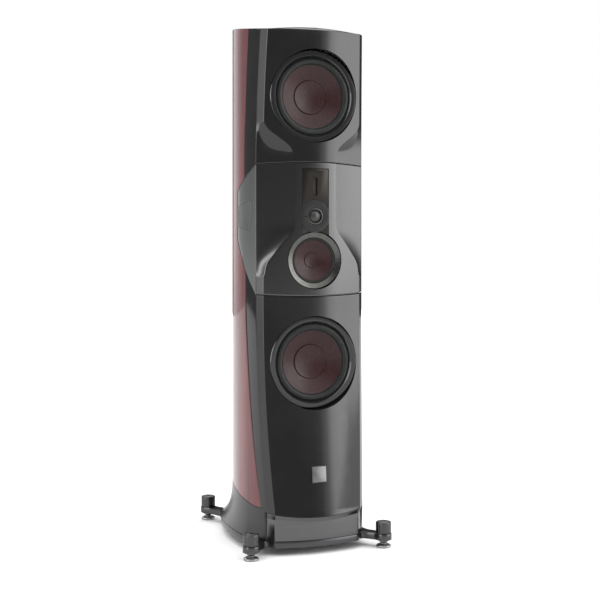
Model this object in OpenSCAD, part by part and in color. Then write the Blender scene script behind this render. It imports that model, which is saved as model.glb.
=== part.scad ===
// Floorstanding three-way loudspeaker with curved side walls, a cast middle
// module and four outrigger feet.  Millimetres, +Z up, front faces -Y,
// origin on the floor under the middle of the overall box.

/* [Cabinet] */
// Radius of the bowed side walls in plan
side_r = 387.6; // [380:1:400]
// Greatest half width of the cabinet
half_w = 197.2; // [190:0.5:205]
// Thickness of the curved side laminate
side_t = 22; // [18:1:26]
// Depth of the cabinet's flat back behind the widest-point datum
back_y = 266.5; // [258:0.5:270]
// Height of the front top corners above the floor
top_front = 1623; // [1600:1:1640]
// Rise of the roof per millimetre towards the back
roof_slope = 0.165; // [0.1:0.005:0.17]

/* [Front] */
// Horizontal radius of the bowed front faces
front_r = 436; // [420:1:460]
// Width of the corner chamfer, measured across the front
cham_x = 17.4; // [12:0.2:20]
// Depth of the corner chamfer, measured front to back
cham_y = 22.8; // [18:0.2:26]
// Height of the joint between the lower baffle and the middle module
seam_lo = 801.5; // [795:0.5:808]
// Height of the joint between the middle module and the upper baffle
seam_hi = 1205.5; // [1200:0.5:1210]

/* [Drivers] */
// Height of the lower woofer's axis
woofer_lo_z = 588; // [570:1:600]
// Height of the upper woofer's axis
woofer_hi_z = 1420.5; // [1410:0.5:1430]
// Outer radius of a woofer trim ring (11.5 inch driver)
woofer_r = 146; // [140:0.5:148]
// Height of the midrange's axis
mid_z = 907; // [900:1:912]
// Outer radius of the midrange ring (7 inch driver)
mid_r = 89; // [86:0.5:90]
// Height of the dome tweeter's axis
dome_z = 1044.6; // [1040:0.2:1048]
// Radius of the dome
dome_r = 17.5; // [15:0.5:18]
// Height of the planar tweeter's centre
ribbon_z = 1137.6; // [1132:0.2:1142]
// Height of the planar tweeter's diaphragm
ribbon_h = 55; // [45:1:60]
// Width of the planar tweeter's diaphragm
ribbon_w = 10; // [8:0.5:12]

/* [Base] */
// Underside of the base plate and its arms
base_z = 24; // [22:0.5:28]
// Thickness of the base plate and its arms
base_t = 21; // [18:0.5:22]
// Half spacing of the front feet
foot_fx = 221; // [215:1:225]
// Half spacing of the rear feet
foot_rx = 184; // [176:1:190]
// Forward position of the front feet
foot_fy = -213; // [-215:0.5:-210]
// Rearward position of the rear feet
foot_ry = 354; // [350:0.5:358]
// Radius of the round arm ends
pad_r = 26.5; // [25:0.5:28]
// Radius of the adjusting knobs
knob_r = 24.2; // [22:0.2:25]
// Radius of the foot studs
stud_r = 6; // [5:0.5:7]

/* [Terminals] */
// Radius of the plug socket in each terminal post
socket_r = 2.05; // [2:0.05:2.2]
// Depth of the plug socket
socket_l = 20; // [18:1:24]

/* [Hidden] */
$fn = 64;

// middle of the overall box, front to back
yo = -(foot_fy + foot_ry) / 2;
axis_y = -19.4;               // widest point of the side walls
wall_cx = half_w - side_r;    // plan centre of the right-hand wall's arc
base_top = base_z + base_t;
yw = -172;                    // front plane of the woofer rings
ymid = -180;                  // front plane of the midrange ring
ytw = -185.5;                 // front plane of the tweeter plate
yc0 = -135.7;                 // corner line beside the middle module
wing_y = -67.8;               // back of the middle module's front block
port_zs = [470, 1300];        // heights of the reflex ports
terminals = [[-19, 266], [19, 266], [-19, 310], [19, 310]];

// ---- outline rules --------------------------------------------------------
function wall_x(y) = wall_cx + sqrt(side_r * side_r - (y - axis_y) * (y - axis_y));
function inner_x(y) = wall_cx + sqrt(pow(side_r - side_t, 2) - (y - axis_y) * (y - axis_y));
function corner_y(z) = z < seam_lo ? yc0 - 49.4 * pow((seam_lo - z) / 685, 2)
    : z > seam_hi ? yc0 - 21.3 * pow((z - seam_hi) / 417.6, 2) : yc0;
function panel_y(z) = z < seam_lo ? -76.5 - 83.3 * pow((seam_lo - z) / 668.6, 1.53)
    : z > seam_hi ? wing_y - 25.2 * pow((z - seam_hi) / 417.6, 1.4) : wing_y;
function edge_x(z) = wall_x(corner_y(z)) - cham_x;
function edge_y(z) = corner_y(z) - cham_y;
function arc_y(z, x) = edge_y(z) - sqrt(front_r * front_r - x * x)
    + sqrt(front_r * front_r - edge_x(z) * edge_x(z));
// half width of the raised ridge between the two scoops
function ridge_x(z) = lookup(z, [[843, 163], [869, 158], [888, 156], [904, 149], [926, 132.5],
    [951, 113.5], [974, 94], [997, 74.5], [1012, 68], [1214, 68], [1231, 68], [1248, 76.5],
    [1265, 95.5], [1289, 124], [1312, 150], [1332, 160], [1347, 163]]);
function ridge(z) = z <= 843 || z >= 1347 ? edge_x(z) : min(ridge_x(z), edge_x(z));
function clamp(v, a, b) = v < a ? a : v > b ? b : v;
// how far the corner facet has opened from the ridge (0) to the corner (1)
function facet(z) = z < 1000 ? clamp((920 - z) / 78, 0.03, 0.97) : clamp((z - 1289) / 58, 0.03, 0.97);
function roof(y) = let (d = max(0, y + 157)) top_front + roof_slope * d - 0.0001 * d * d;
function lerp(a, b, t) = a + (b - a) * t;

NA = 10;   // steps across the bowed front
function front_pts(z) = let (
        xc = wall_x(corner_y(z)), yc = corner_y(z), w = ridge(z), yw_ = arc_y(z, w), t = facet(z),
        b = 5.5 * sin(180 * t), px = lerp(w, xc, t) + b * 0.7, py = lerp(yw_, yc, t) - b * 0.7)
    concat([[-xc, yc], [-px, py]],
        [for (i = [0:NA]) let (x = -w + 2 * w * i / NA) [x, arc_y(z, x)]],
        [[px, py], [xc, yc]]);
NF = NA + 5;
function back_pts(z, yb) = [for (i = [0:NF - 1]) [wall_x(yb) * (2 * i / (NF - 1) - 1), yb]];

// A block skinned through levels [z, back y].  lo and hi are [bow, slope]:
// the end joint is bowed by bow in the middle and runs off by slope behind
// the corner line.
function joint_off(p, z, f) = f[0] * (1 - pow(p[0] / 180, 2)) * (p[1] <= corner_y(z) + 0.01 ? 1 : 0)
    + f[1] * max(0, p[1] - corner_y(z));
module front_block(levels, lo, hi, reach = 200) {
    zs0 = levels[0][0];
    zs1 = levels[len(levels) - 1][0];
    rings = [for (l = levels) let (z = l[0], f = front_pts(z), g = back_pts(z, l[1]))
        [for (p = concat(f, [for (i = [0:NF - 1]) g[NF - 1 - i]]))
            let (a = clamp(1 - (z - zs0) / reach, 0, 1), b = clamp(1 - (zs1 - z) / reach, 0, 1))
            [p[0], p[1], z + a * joint_off(p, zs0, lo) + b * joint_off(p, zs1, hi)]]];
    skin(rings);
}
// closed skin through rings that each run front left to right, back right to left
module skin(rings) {
    m = len(rings[0]);
    n = len(rings);
    h = m / 2;
    pts = [for (r = rings) each r];
    walls = [for (k = [0:n - 2]) for (i = [0:m - 1]) let (j = (i + 1) % m)
        each [[k * m + i, (k + 1) * m + j, k * m + j], [k * m + i, (k + 1) * m + i, (k + 1) * m + j]]];
    caps = [for (i = [0:h - 2]) each [
        [i, i + 1, m - 1 - i], [i + 1, m - 2 - i, m - 1 - i],
        [(n - 1) * m + i, (n - 1) * m + m - 1 - i, (n - 1) * m + i + 1],
        [(n - 1) * m + i + 1, (n - 1) * m + m - 1 - i, (n - 1) * m + m - 2 - i]]];
    polyhedron(points = pts, faces = concat(walls, caps), convexity = 6);
}

module place() translate([0, yo, 0]) children();
// plan outline of the cabinet, inset by g, between y0 and y1
module plan(g, y0, y1) intersection() {
    translate([wall_cx, axis_y]) circle(side_r - g, $fn = 128);
    translate([-wall_cx, axis_y]) circle(side_r - g, $fn = 128);
    translate([-230, y0]) square([460, y1 - y0]);
}
// prism across X from a side-view outline of [y, z] points
module side_prism(pts, x0, x1) translate([x0, 0, 0]) rotate([90, 0, 90]) linear_extrude(x1 - x0) polygon(pts);
// local +Z points into the cabinet
module driver(y, z) translate([0, y, z]) rotate([-90, 0, 0]) children();
module tube(ro, ri, z0, z1) translate([0, 0, z0]) difference() {
    cylinder(h = z1 - z0, r = ro);
    translate([0, 0, -1]) cylinder(h = z1 - z0 + 2, r = ri);
}
module turned(pts) rotate_extrude() polygon(pts);

// ---- cabinet --------------------------------------------------------------
module side_shell(s) {
    difference() {
        intersection() {
            translate([0, 0, base_top + 0.4]) linear_extrude(1700) difference() {
                plan(0, -230, back_y);
                plan(side_t, -231, back_y + 1);
                translate([s > 0 ? -300 : 0, -300]) square([300, 700]);
            }
            side_prism(concat([for (i = [0:16]) let (z = lerp(base_top, top_front, i / 16)) [panel_y(z) + 0.9, z]],
                [for (i = [0:10]) let (y = lerp(-88, back_y + 2, i / 10)) [y, roof(y)]],
                [[back_y + 2, base_top]]), -230, 230);
        }
        side_prism([[-90, 1178.4], [wing_y, 1164.1], [-7.3, 1126.5], [-7.3, 973.8], [-42.1, 925.9],
            [wing_y, 883.5], [-90, 857]], -230, 230);
        translate([-230, -240, base_top]) cube([460, 80.6, 73.6]);
        port_holes();
    }
}
// clearance holes for the reflex ports
module port_holes() for (z = port_zs) {
    driver(100, z) cylinder(h = 300, r = 38.4);
    driver(back_y - 4, z) cylinder(h = 30, r = 44.4);
}
module side_panel_left() color("#6d3038") place() side_shell(-1);
module side_panel_right() color("#6d3038") place() side_shell(1);

module upper_baffle() color("#202020") place() difference() {
    front_block(concat([for (z = [1206, 1231, 1248, 1265, 1277, 1289, 1304, 1318, 1332, 1347, 1420, 1500, 1560])
        [z, panel_y(z)]], [[top_front, panel_y(top_front)]]), [6.8, -0.621], [0, 0.12], 90);
    driver(yw - 60, woofer_hi_z) cylinder(h = 68.2, r = woofer_r + 1.2, $fn = 96);
    driver(yw - 60, woofer_hi_z) cylinder(h = 260, r = 129, $fn = 96);
    translate([-135, -142, 1290]) cube([270, 120, 300]);
}
module lower_baffle() color("#202020") place() difference() {
    union() {
        front_block([for (z = [116, 180, 250, 320, 400, 480, 560, 640, 720, 801]) [z, panel_y(z)]],
            [-0.5, 0.35], [-6, 1.245], 90);
    }
    driver(yw - 60, woofer_lo_z) cylinder(h = 68.2, r = woofer_r + 1.2, $fn = 96);
    driver(yw - 60, woofer_lo_z) cylinder(h = 260, r = 129, $fn = 96);
    translate([-135, -142, 430]) cube([270, 120, 330]);
    driver(-133, mid_z) cylinder(h = 100, r = 60);
    badge_place() translate([-26.6, -12, -27.6]) cube([53.2, 16, 55.2]);
}
module cover_outline(g) side_prism([[-9.7 + g, 1073.6 + g], [-109.5 - g, 1094 + g], [-106.6 - g, 1000.5 - g],
    [-9.7 + g, 1014.5 - g]], -230, 230);
module mid_module() color("#2a2a2a") place() difference() {
    front_block([for (z = [802, 822, 842, 860, 880, 900, 920, 940, 958, 976, 992, 1004, 1014, 1110, 1205]) [z, wing_y]],
        [-6, 1.245], [6.8, -0.621], 190);
    driver(ymid - 40, mid_z) cylinder(h = 56.2, r = mid_r + 0.8, $fn = 96);
    driver(ymid - 40, mid_z) cylinder(h = 200, r = 82, $fn = 96);
    // recess for the tweeter plates, and the way through for both motors
    translate([-44.3, ytw - 30, 982]) cube([88.6, 38.3, 212.4]);
    driver(ytw - 30, dome_z) cylinder(h = 38.3, r = 50.9, $fn = 96);
    driver(ytw - 30, dome_z) cylinder(h = 200, r = 38, $fn = 96);
    translate([-26, ytw - 30, ribbon_z - 46]) cube([52, 200, 92]);
    translate([-120, -138, 905]) cube([240, 120, 240]);
    intersection() {
        cover_outline(0.5);
        translate([0, 0, 900]) linear_extrude(300) difference() {
            square([460, 460], center = true);
            plan(3.4, -220, 200);
        }
    }
}
module mid_module_wings() color("#2a2a2a") place() difference() {
    intersection() {
        translate([0, 0, 800]) linear_extrude(420) difference() {
            plan(0, wing_y + 0.3, 0);
            plan(side_t, -230, 1);
        }
        side_prism([[wing_y + 0.3, 1163.1], [-8, 1126], [-8, 974.2], [-42.6, 926.3], [wing_y + 0.3, 885.5]], -230, 230);
    }
    intersection() {
        cover_outline(0.5);
        translate([0, 0, 900]) linear_extrude(300) difference() {
            square([460, 460], center = true);
            plan(3.4, -220, 200);
        }
    }
}
module wing_covers() color("#383838") place() intersection() {
    cover_outline(0);
    translate([0, 0, 900]) linear_extrude(300) difference() {
        plan(1.5, -200, 100);
        plan(3.2, -201, 101);
    }
}
module top_panel() color("#1c1c1c") place() {
    nx = 6;
    ny = 8;
    yf = panel_y(top_front) + 3.2;
    rings = [for (j = [0:ny]) let (y = lerp(yf, back_y - 22.6, j / ny), hw = inner_x(y) - 0.5,
            cr = 10 * (1 - j / ny))
        concat([for (i = [0:nx]) let (x = hw * (2 * i / nx - 1)) [x, y, roof(y) - 22]],
            [for (i = [0:nx]) let (x = hw * (1 - 2 * i / nx)) [x, y, roof(y) + cr * (1 - pow(x / hw, 2)) - 0.3]])];
    mirror([0, 0, 0]) skin(rings);
}
module back_panel() color("#1c1c1c") place() difference() {
    translate([0, 0, base_top + 0.4]) linear_extrude(1600) plan(side_t + 0.4, back_y - 22, back_y);
    port_holes();
    translate([-32, 200, 248]) cube([64, 100, 80]);
}
module bottom_panel() color("#7a6248") place() difference() {
    translate([0, 0, base_top + 0.4]) linear_extrude(22) plan(side_t + 0.4, -150, back_y - 22.5);
    for (p = bolt_spots) translate([p[0], p[1], 0]) cylinder(h = 200, r = 4.05);
}
bolt_spots = [[-120, -110], [120, -110], [-140, 60], [140, 60], [-80, 190], [80, 190]];
module braces() color("#7a6248") place() {
    for (z = [360, 740, 1224, 1560]) difference() {
        translate([0, 0, z]) linear_extrude(18) plan(side_t + 0.4, -60, back_y - 22.5);
        translate([0, 40, z - 1]) cylinder(h = 30, r = 62);
        translate([-62, 120, z - 1]) cylinder(h = 30, r = 26);
        translate([62, 120, z - 1]) cylinder(h = 30, r = 26);
    }
    for (z = [790, 1196]) translate([0, 0, z]) linear_extrude(20) plan(side_t + 0.4, -60, back_y - 22.5);
}
module mid_enclosure() color("#3a3a3a") place() difference() {
    translate([-128, -59, 812]) cube([256, 120, 382]);
    translate([-120, -60, 820]) cube([240, 113, 366]);
}

// ---- plinth and base ------------------------------------------------------
function base_x(y) = y < -92 ? wall_x(y) + lerp(-5, 10, (y + 178) / 86)
    : 209.3 - (y - 19.4) * (y - 19.4) / 1357;
front_edge = -178;
function base_front(x) = -201 - sqrt(front_r * front_r - x * x) + sqrt(front_r * front_r - 139.6 * 139.6);
function plinth_front_pts() = concat([[-157.5, front_edge]],
    [for (i = [0:NA + 2]) let (x = -139.6 + 279.2 * i / (NA + 2)) [x, base_front(x)]], [[157.5, front_edge]]);
module plinth_front() color("#4a4a4a") place() {
    f = plinth_front_pts();
    n = len(f);
    rings = [for (l = [[base_top + 0.4, 3, 0], [base_top + 8, 0, 0], [103.5, 0, 1]])
        concat([for (p = f) [p[0] * (1 - l[1] / 200), p[1] + l[1], l[0] + l[2] * 14 * pow(p[0] / 160, 2)]],
            [for (i = [0:n - 1]) [157 * (1 - 2 * i / (n - 1)), -160, l[0] + l[2] * 14]])];
    skin(rings);
}
function skirt_top(y) = y < -126 ? 145.5 : 145.5 + 0.2 * (y + 126);
skirt_ys = [-176, -160, -140, -120, -95, -60, -20, 20, 60, 100, 140, 180, 215, 245, 262, 267.5];
module plinth_skirt() color("#262626") place() {
    ny = len(skirt_ys);
    // inner foot, outer foot, then up the flare to the top edge, then back down the wall
    prof = [[0, 0], [0, 0.06], [0.12, 0.3], [0.35, 0.62], [0.62, 0.85], [1, 1]];
    half = [for (i = [0:ny - 1]) let (y = skirt_ys[i], wx = wall_x(y) + 1.1, bx = max(base_x(y), wx + 3.5),
            zt = skirt_top(y), by = y > 215 ? y + (y - 215) * 0.3 : y)
        concat([for (q = [0:5]) let (s = q / 5, out = pow(1 - s, 2.2))
                [lerp(wx + 2, bx, out), lerp(y, by, out), lerp(base_top + 0.4, zt, s)]],
            [[wx, y, zt], [wx, y, base_top + 0.4]])];
    back = [for (t = [0.75, 0.5, 0.25, 0, -0.25, -0.5, -0.75]) let (wx = wall_x(262) + 0.5, bx = base_x(262),
            zt = skirt_top(266))
        concat([for (q = [0:5]) let (s = q / 5, out = pow(1 - s, 2.2))
                [t * lerp(wx + 2, bx, out), lerp(back_y + 4.5, 292, out), lerp(base_top + 0.4, zt, s)]],
            [[t * wx, back_y + 1, zt], [t * wx, back_y + 1, base_top + 0.4]])];
    other = [for (i = [0:ny - 1]) [for (p = half[ny - 1 - i]) [-p[0], p[1], p[2]]]];
    rings = concat(half, back, other);
    m = 8;
    n = len(rings);
    pts = [for (r = rings) each r];
    walls = [for (k = [0:n - 2]) for (i = [0:m - 1]) let (j = (i + 1) % m)
        each [[k * m + i, k * m + j, (k + 1) * m + j], [k * m + i, (k + 1) * m + j, (k + 1) * m + i]]];
    caps = [for (i = [1:m - 2]) each [[0, i + 1, i],
        [(n - 1) * m, (n - 1) * m + i, (n - 1) * m + i + 1]]];
    polyhedron(points = pts, faces = concat(walls, caps), convexity = 8);
}
module arm(x0, y0, x1, y1, w0, w1) {
    a = atan2(y1 - y0, x1 - x0);
    l = sqrt(pow(x1 - x0, 2) + pow(y1 - y0, 2));
    translate([x0, y0]) rotate(a) polygon([[0, -w0], [l * 0.45, -w1 * 1.1], [l, -w1], [l, w1], [l * 0.45, w1 * 1.1], [0, w0]]);
}
module base_plate() color("#303030") place() difference() {
    translate([0, 0, base_z]) linear_extrude(base_t) union() {
        polygon(concat([for (p = plinth_front_pts()) [p[0], p[1]]],
            [for (y = [-160, -130, -95, -60, -20, 20, 60, 100, 140, 180, 215, 245, 270]) [base_x(y), y]],
            [[150, 284], [134, 292], [-134, 292], [-150, 284]],
            [for (y = [270, 245, 215, 180, 140, 100, 60, 20, -20, -60, -95, -130, -160]) [-base_x(y), y]]));
        for (s = [-1, 1]) {
            arm(s * 150, -130, s * foot_fx, foot_fy, 46, 18);
            arm(s * 120, 230, s * foot_rx, foot_ry, 50, 18);
            translate([s * foot_fx, foot_fy]) circle(pad_r);
            translate([s * foot_rx, foot_ry]) circle(pad_r);
        }
    }
    for (s = [-1, 1]) {
        translate([s * foot_fx, foot_fy, 0]) cylinder(h = 100, r = stud_r + 0.05);
        translate([s * foot_rx, foot_ry, 0]) cylinder(h = 100, r = stud_r + 0.05);
    }
    for (p = bolt_spots) {
        translate([p[0], p[1], 0]) cylinder(h = 100, r = 4.2);
        translate([p[0], p[1], 0]) cylinder(h = base_z + 8, r = 7.2);
    }
}
module base_bolts() color("#9a9a9a") place() for (p = bolt_spots) translate([p[0], p[1], 0]) {
    difference() {
        translate([0, 0, base_z + 0.5]) cylinder(h = 7.3, r = 6.6);
        cylinder(h = base_z + 4.5, r = 2.9, $fn = 6);
    }
    translate([0, 0, base_z + 7.8]) cylinder(h = 32, r = 3.98);
}
module foot_spike(x, y) color("#8a8a8a") place() translate([x, y, 0]) rotate_extrude() polygon([[0, 0], [21.5, 0],
    [23, 1.5], [23.4, 6], [22.4, 8.4], [18, 9.8], [8, 10.6], [7, 12], [7.6, 13], [18.2, base_z - 1.5], [18.6, base_z - 0.1],
    [stud_r, base_z - 0.1], [stud_r, 76], [stud_r - 1, 77], [0, 77]]);
module knob(x, y) color("#303030") place() translate([x, y, base_top + 0.8]) difference() {
    rotate_extrude() polygon([[stud_r + 0.05, 0], [knob_r - 1, 0], [knob_r, 1], [knob_r, 32], [knob_r - 2.4, 35.2],
        [stud_r + 0.05, 35.2]]);
    for (a = [0:30:330]) rotate(a) translate([knob_r + 6.6, 0, -1]) cylinder(h = 40, r = 7.2, $fn = 24);
}
module foot_front_left() foot_spike(-foot_fx, foot_fy);
module foot_front_right() foot_spike(foot_fx, foot_fy);
module foot_rear_left() foot_spike(-foot_rx, foot_ry);
module foot_rear_right() foot_spike(foot_rx, foot_ry);
module knob_front_left() knob(-foot_fx, foot_fy);
module knob_front_right() knob(foot_fx, foot_fy);
module knob_rear_left() knob(-foot_rx, foot_ry);
module knob_rear_right() knob(foot_rx, foot_ry);

// ---- woofers --------------------------------------------------------------
module woofer_ring(z) color("#161616") place() driver(yw, z) turned([[woofer_r - 4, 0], [woofer_r, 3.5], [woofer_r, 8],
    [121.5, 8], [121.5, 6], [131, 0.6], [133, 0]]);
module woofer_basket(z) color("#2c2c2c") place() driver(yw, z) difference() {
    turned([[123.4, 8.45], [128.4, 8.45], [128.4, 16], [126, 20], [92, 82], [92, 88], [38.4, 88], [38.4, 84], [86, 84],
        [86, 80], [119, 20], [123.4, 14]]);
    for (a = [0:60:300]) rotate(a) translate([70, -26, 26]) cube([80, 52, 50]);
}
module woofer_motor(z) color("#5a5a5c") place() driver(yw, z) turned([[0, 76], [34.6, 76], [34.6, 128], [44, 128], [44, 98],
    [38.2, 98], [38.2, 90], [38.2, 88.2], [84, 88.2], [84, 96], [88, 98.4], [88, 126], [84, 128], [84, 136], [0, 136]]);
module woofer_suspension(z) color("#262a28") place() driver(yw, z) {
    rotate_extrude() polygon(concat([[100.4, 9.4], [101.6, 8.8]],
        [for (a = [180:-15:0]) [112 + 9.6 * cos(a), 8.6 - 6 * sin(a)]],
        [[121.6, 8.2], [128, 8.2], [128, 8.35]],
        [[122.8, 8.35], [122.8, 10.6], [120.6, 10.6]],
        [for (a = [15:15:165]) [112 + 8.4 * cos(a), 9.2 - 4.8 * sin(a)]], [[103, 10.2], [100.6, 10.7]]));
    tube(84, 38.4, 66, 67.2);
}
module woofer_cone(z) color("#4a2326") place() driver(yw, z) turned([[38, 40.2], [100, 8.6], [100.2, 10], [38, 42.2]]);
module woofer_dust_cap(z) color("#4a2326") place() driver(yw, z) turned(concat(
    [for (i = [0:8]) let (r = 52 * i / 8) [r, 32.7 + 7 * (1 - pow(r / 52, 2))]],
    [for (i = [8:-1:0]) let (r = 52 * i / 8) [r, 31.4 + 7 * (1 - pow(r / 52, 2))]]));
module woofer_coil(z) color("#b87040") place() driver(yw, z) tube(37.2, 36, 42.3, 108);
module upper_woofer_ring() woofer_ring(woofer_hi_z);
module upper_woofer_basket() woofer_basket(woofer_hi_z);
module upper_woofer_motor() woofer_motor(woofer_hi_z);
module upper_woofer_suspension() woofer_suspension(woofer_hi_z);
module upper_woofer_cone() woofer_cone(woofer_hi_z);
module upper_woofer_dust_cap() woofer_dust_cap(woofer_hi_z);
module upper_woofer_coil() woofer_coil(woofer_hi_z);
module lower_woofer_ring() woofer_ring(woofer_lo_z);
module lower_woofer_basket() woofer_basket(woofer_lo_z);
module lower_woofer_motor() woofer_motor(woofer_lo_z);
module lower_woofer_suspension() woofer_suspension(woofer_lo_z);
module lower_woofer_cone() woofer_cone(woofer_lo_z);
module lower_woofer_dust_cap() woofer_dust_cap(woofer_lo_z);
module lower_woofer_coil() woofer_coil(woofer_lo_z);

// ---- midrange -------------------------------------------------------------
module midrange_ring() color("#8a8a88") place() driver(ymid, mid_z) turned([[mid_r - 2, 0], [mid_r, 1.6], [mid_r, 16],
    [71.5, 16], [71.5, 6.5]]);
module midrange_basket() color("#2c2c2c") place() driver(ymid, mid_z) difference() {
    turned([[71, 16.4], [81.4, 16.4], [81.4, 22], [78, 28], [56, 62], [56, 66], [19.4, 66], [19.4, 62.6], [50, 62.6],
        [72, 27], [71, 22]]);
    for (a = [0:90:270]) rotate(a) translate([50, -17, 30]) cube([60, 34, 27]);
}
module midrange_motor() color("#5a5a5c") place() driver(ymid, mid_z) turned([[0, 56], [16.4, 56], [16.4, 94], [24, 94],
    [24, 74], [19.2, 74], [19.2, 66.2], [52, 66.2], [52, 72], [56, 74.4], [56, 92], [52, 94], [52, 100], [0, 100]]);
module midrange_suspension() color("#262a28") place() driver(ymid, mid_z) {
    rotate_extrude() polygon(concat([[64.4, 10.1]], [for (a = [180:-20:0]) [68 + 3.3 * cos(a), 9.4 - 2.2 * sin(a)]],
        [for (a = [0:20:180]) [68 + 2.4 * cos(a), 10 - 1.5 * sin(a)]], [[64.4, 11.2]]));
    tube(50, 18.6, 47.5, 48.4);
}
module midrange_cone() color("#4a2326") place() driver(ymid, mid_z) {
    turned([[19, 29.8], [64, 9.6], [64.2, 10.8], [19, 31.2]]);
    turned(concat([for (i = [0:6]) let (r = 23 * i / 6) [r, 27.7 + 3 * (1 - pow(r / 23, 2))]],
        [for (i = [6:-1:0]) let (r = 23 * i / 6) [r, 26.6 + 3 * (1 - pow(r / 23, 2))]]));
}
module midrange_coil() color("#b87040") place() driver(ymid, mid_z) tube(18.4, 17.3, 31.6, 80);

// ---- tweeters -------------------------------------------------------------
module tweeter_plate() color("#3a3632") place() difference() {
    translate([-44, ytw, 982.6]) cube([88, 8, 211]);
    driver(ytw - 1, mid_z) cylinder(h = 60, r = mid_r + 1.2, $fn = 96);
    driver(ytw - 1, dome_z) cylinder(h = 4.2, r = 50.8, $fn = 96);
    driver(ytw - 1, dome_z) cylinder(h = 60, r = 30);
    translate([-ribbon_w / 2 - 3, ytw - 1, ribbon_z - ribbon_h / 2 - 3]) cube([ribbon_w + 6, 60, ribbon_h + 6]);
    translate([-20, ytw - 1, ribbon_z + 45]) cube([40, 2, 2]);
}
module dome_plate() color("#343434") place() difference() {
    driver(ytw - 1.2, dome_z) turned([[25.5, 0], [50, 0], [50.5, 0.5], [50.5, 4.2], [19.2, 4.2], [19.2, 3.4], [20.5, 2.6], [24, 2.6]]);
    driver(ytw - 10, mid_z) cylinder(h = 60, r = mid_r + 1.2, $fn = 96);
    for (s = [-1, 1]) translate([s * 36 - 9, ytw - 3, dome_z - 1]) cube([18, 3.4, 2]);
}
module dome() color("#55504c") place() driver(ytw + 3, dome_z) {
    turned(concat([for (a = [0:10:60]) [20.2 * sin(a) * dome_r / 17.5, 10.1 - 20.2 * cos(a)]],
        [[18.6, 0.4], [18.6, 1.1]],
        [for (a = [60:-10:0]) [19.6 * sin(a) * dome_r / 17.5, 10.3 - 19.6 * cos(a) + 0.3]]));
    tube(17, 16.4, 1.4, 9);
}
module dome_motor() color("#5a5a5c") place() driver(ytw + 3, dome_z) turned([[0, 3], [15.6, 3], [15.6, 12], [18, 12], [18, 2.6],
    [29, 2.6], [29, 6], [36, 8], [36, 34], [0, 34]]);
module ribbon() color("#c8b898") place() translate([-ribbon_w / 2, ytw + 5, ribbon_z - ribbon_h / 2]) cube([ribbon_w, 0.4, ribbon_h]);
module ribbon_motor() color("#4a4a4c") place() difference() {
    translate([-24, ytw + 8.4, ribbon_z - 44]) cube([48, 26, 88]);
    translate([-ribbon_w / 2 - 1, ytw, ribbon_z - ribbon_h / 2 - 1]) cube([ribbon_w + 2, 24, ribbon_h + 2]);
}

// ---- trim, crossover, ports, terminals -------------------------------------
module badge_place() translate([0, arc_y(246, 0), 246]) rotate([-6.7, 0, 0]) children();
module badge_frame() color("#101010") place() badge_place() difference() {
    translate([-26, -1.6, -27]) cube([52, 5, 54]);
    translate([-23.4, -3, -24.4]) cube([46.8, 5, 48.8]);
}
module badge_plate() color("#8c8c8c") place() badge_place() translate([-23, -1.2, -24]) cube([46, 2.8, 48]);
module crossover() color("#2f4a38") place() {
    translate([-60, 200, 520]) cube([120, 3, 120]);
    for (p = [[-38, 546, 15], [0, 548, 15], [38, 546, 13], [38, 586, 11]])
        translate([p[0], 187.5, p[1]]) rotate([-90, 0, 0]) tube(p[2], 5, 0, 12.3);
    for (p = [[-40, 592], [-40, 616]]) translate([p[0] - 14, 192, p[1]]) rotate([0, 90, 0]) cylinder(h = 50, r = 7.8);
    translate([14, 194, 612]) cube([34, 5.8, 9]);
}
module port_tubes() color("#1a1a1a") place() for (z = port_zs) driver(back_y, z)
    turned([[35, -150], [38, -150], [38, -3.6], [44, -3.6], [44, 1.2], [43, 2.2], [39.5, 1.2], [36.4, -4], [35, -14]]);
module terminal_plate() color("#202020") place() {
    difference() {
        union() {
            translate([-41, back_y + 0.3, 236]) cube([82, 4, 104]);
            translate([-31.5, back_y - 18, 248.5]) cube([63, 18.4, 79]);
        }
        translate([-28, back_y - 20, 252]) cube([56, 18, 72]);
    }
}
module terminal_posts() color("#b8953f") place() for (p = terminals) driver(back_y + 4.35, p[1])
    translate([p[0], 0, 0]) difference() {
        union() {
            cylinder(h = 3, r = 8);
            cylinder(h = 29.85, r = 4);
        }
        translate([0, 0, 29.85 - socket_l]) cylinder(h = socket_l + 1, r = socket_r);
    }
module terminal_nut(i) color("#c9a24a") place() driver(back_y + 8.4, terminals[i][1]) translate([terminals[i][0], 0, 0])
    difference() {
        turned([[4.05, 0], [8, 0], [8, 2], [9.2, 3], [9.2, 16], [8, 17.4], [4.05, 17.4]]);
        for (a = [0:45:315]) rotate(a) translate([10.4, 0, 4]) cylinder(h = 20, r = 1.8, $fn = 24);
    }
module terminal_nut_1() terminal_nut(0);
module terminal_nut_2() terminal_nut(1);
module terminal_nut_3() terminal_nut(2);
module terminal_nut_4() terminal_nut(3);

side_panel_left();
side_panel_right();
upper_baffle();
mid_module();
mid_module_wings();
wing_covers();
lower_baffle();
top_panel();
back_panel();
bottom_panel();
braces();
mid_enclosure();
plinth_front();
plinth_skirt();
base_plate();
base_bolts();
upper_woofer_ring();
upper_woofer_basket();
upper_woofer_motor();
upper_woofer_suspension();
upper_woofer_cone();
upper_woofer_dust_cap();
upper_woofer_coil();
lower_woofer_ring();
lower_woofer_basket();
lower_woofer_motor();
lower_woofer_suspension();
lower_woofer_cone();
lower_woofer_dust_cap();
lower_woofer_coil();
midrange_ring();
midrange_basket();
midrange_motor();
midrange_suspension();
midrange_cone();
midrange_coil();
tweeter_plate();
dome_plate();
dome();
dome_motor();
ribbon();
ribbon_motor();
badge_frame();
badge_plate();
crossover();
port_tubes();
terminal_plate();
terminal_posts();
terminal_nut_1();
terminal_nut_2();
terminal_nut_3();
terminal_nut_4();
foot_front_left();
foot_front_right();
foot_rear_left();
foot_rear_right();
knob_front_left();
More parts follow.
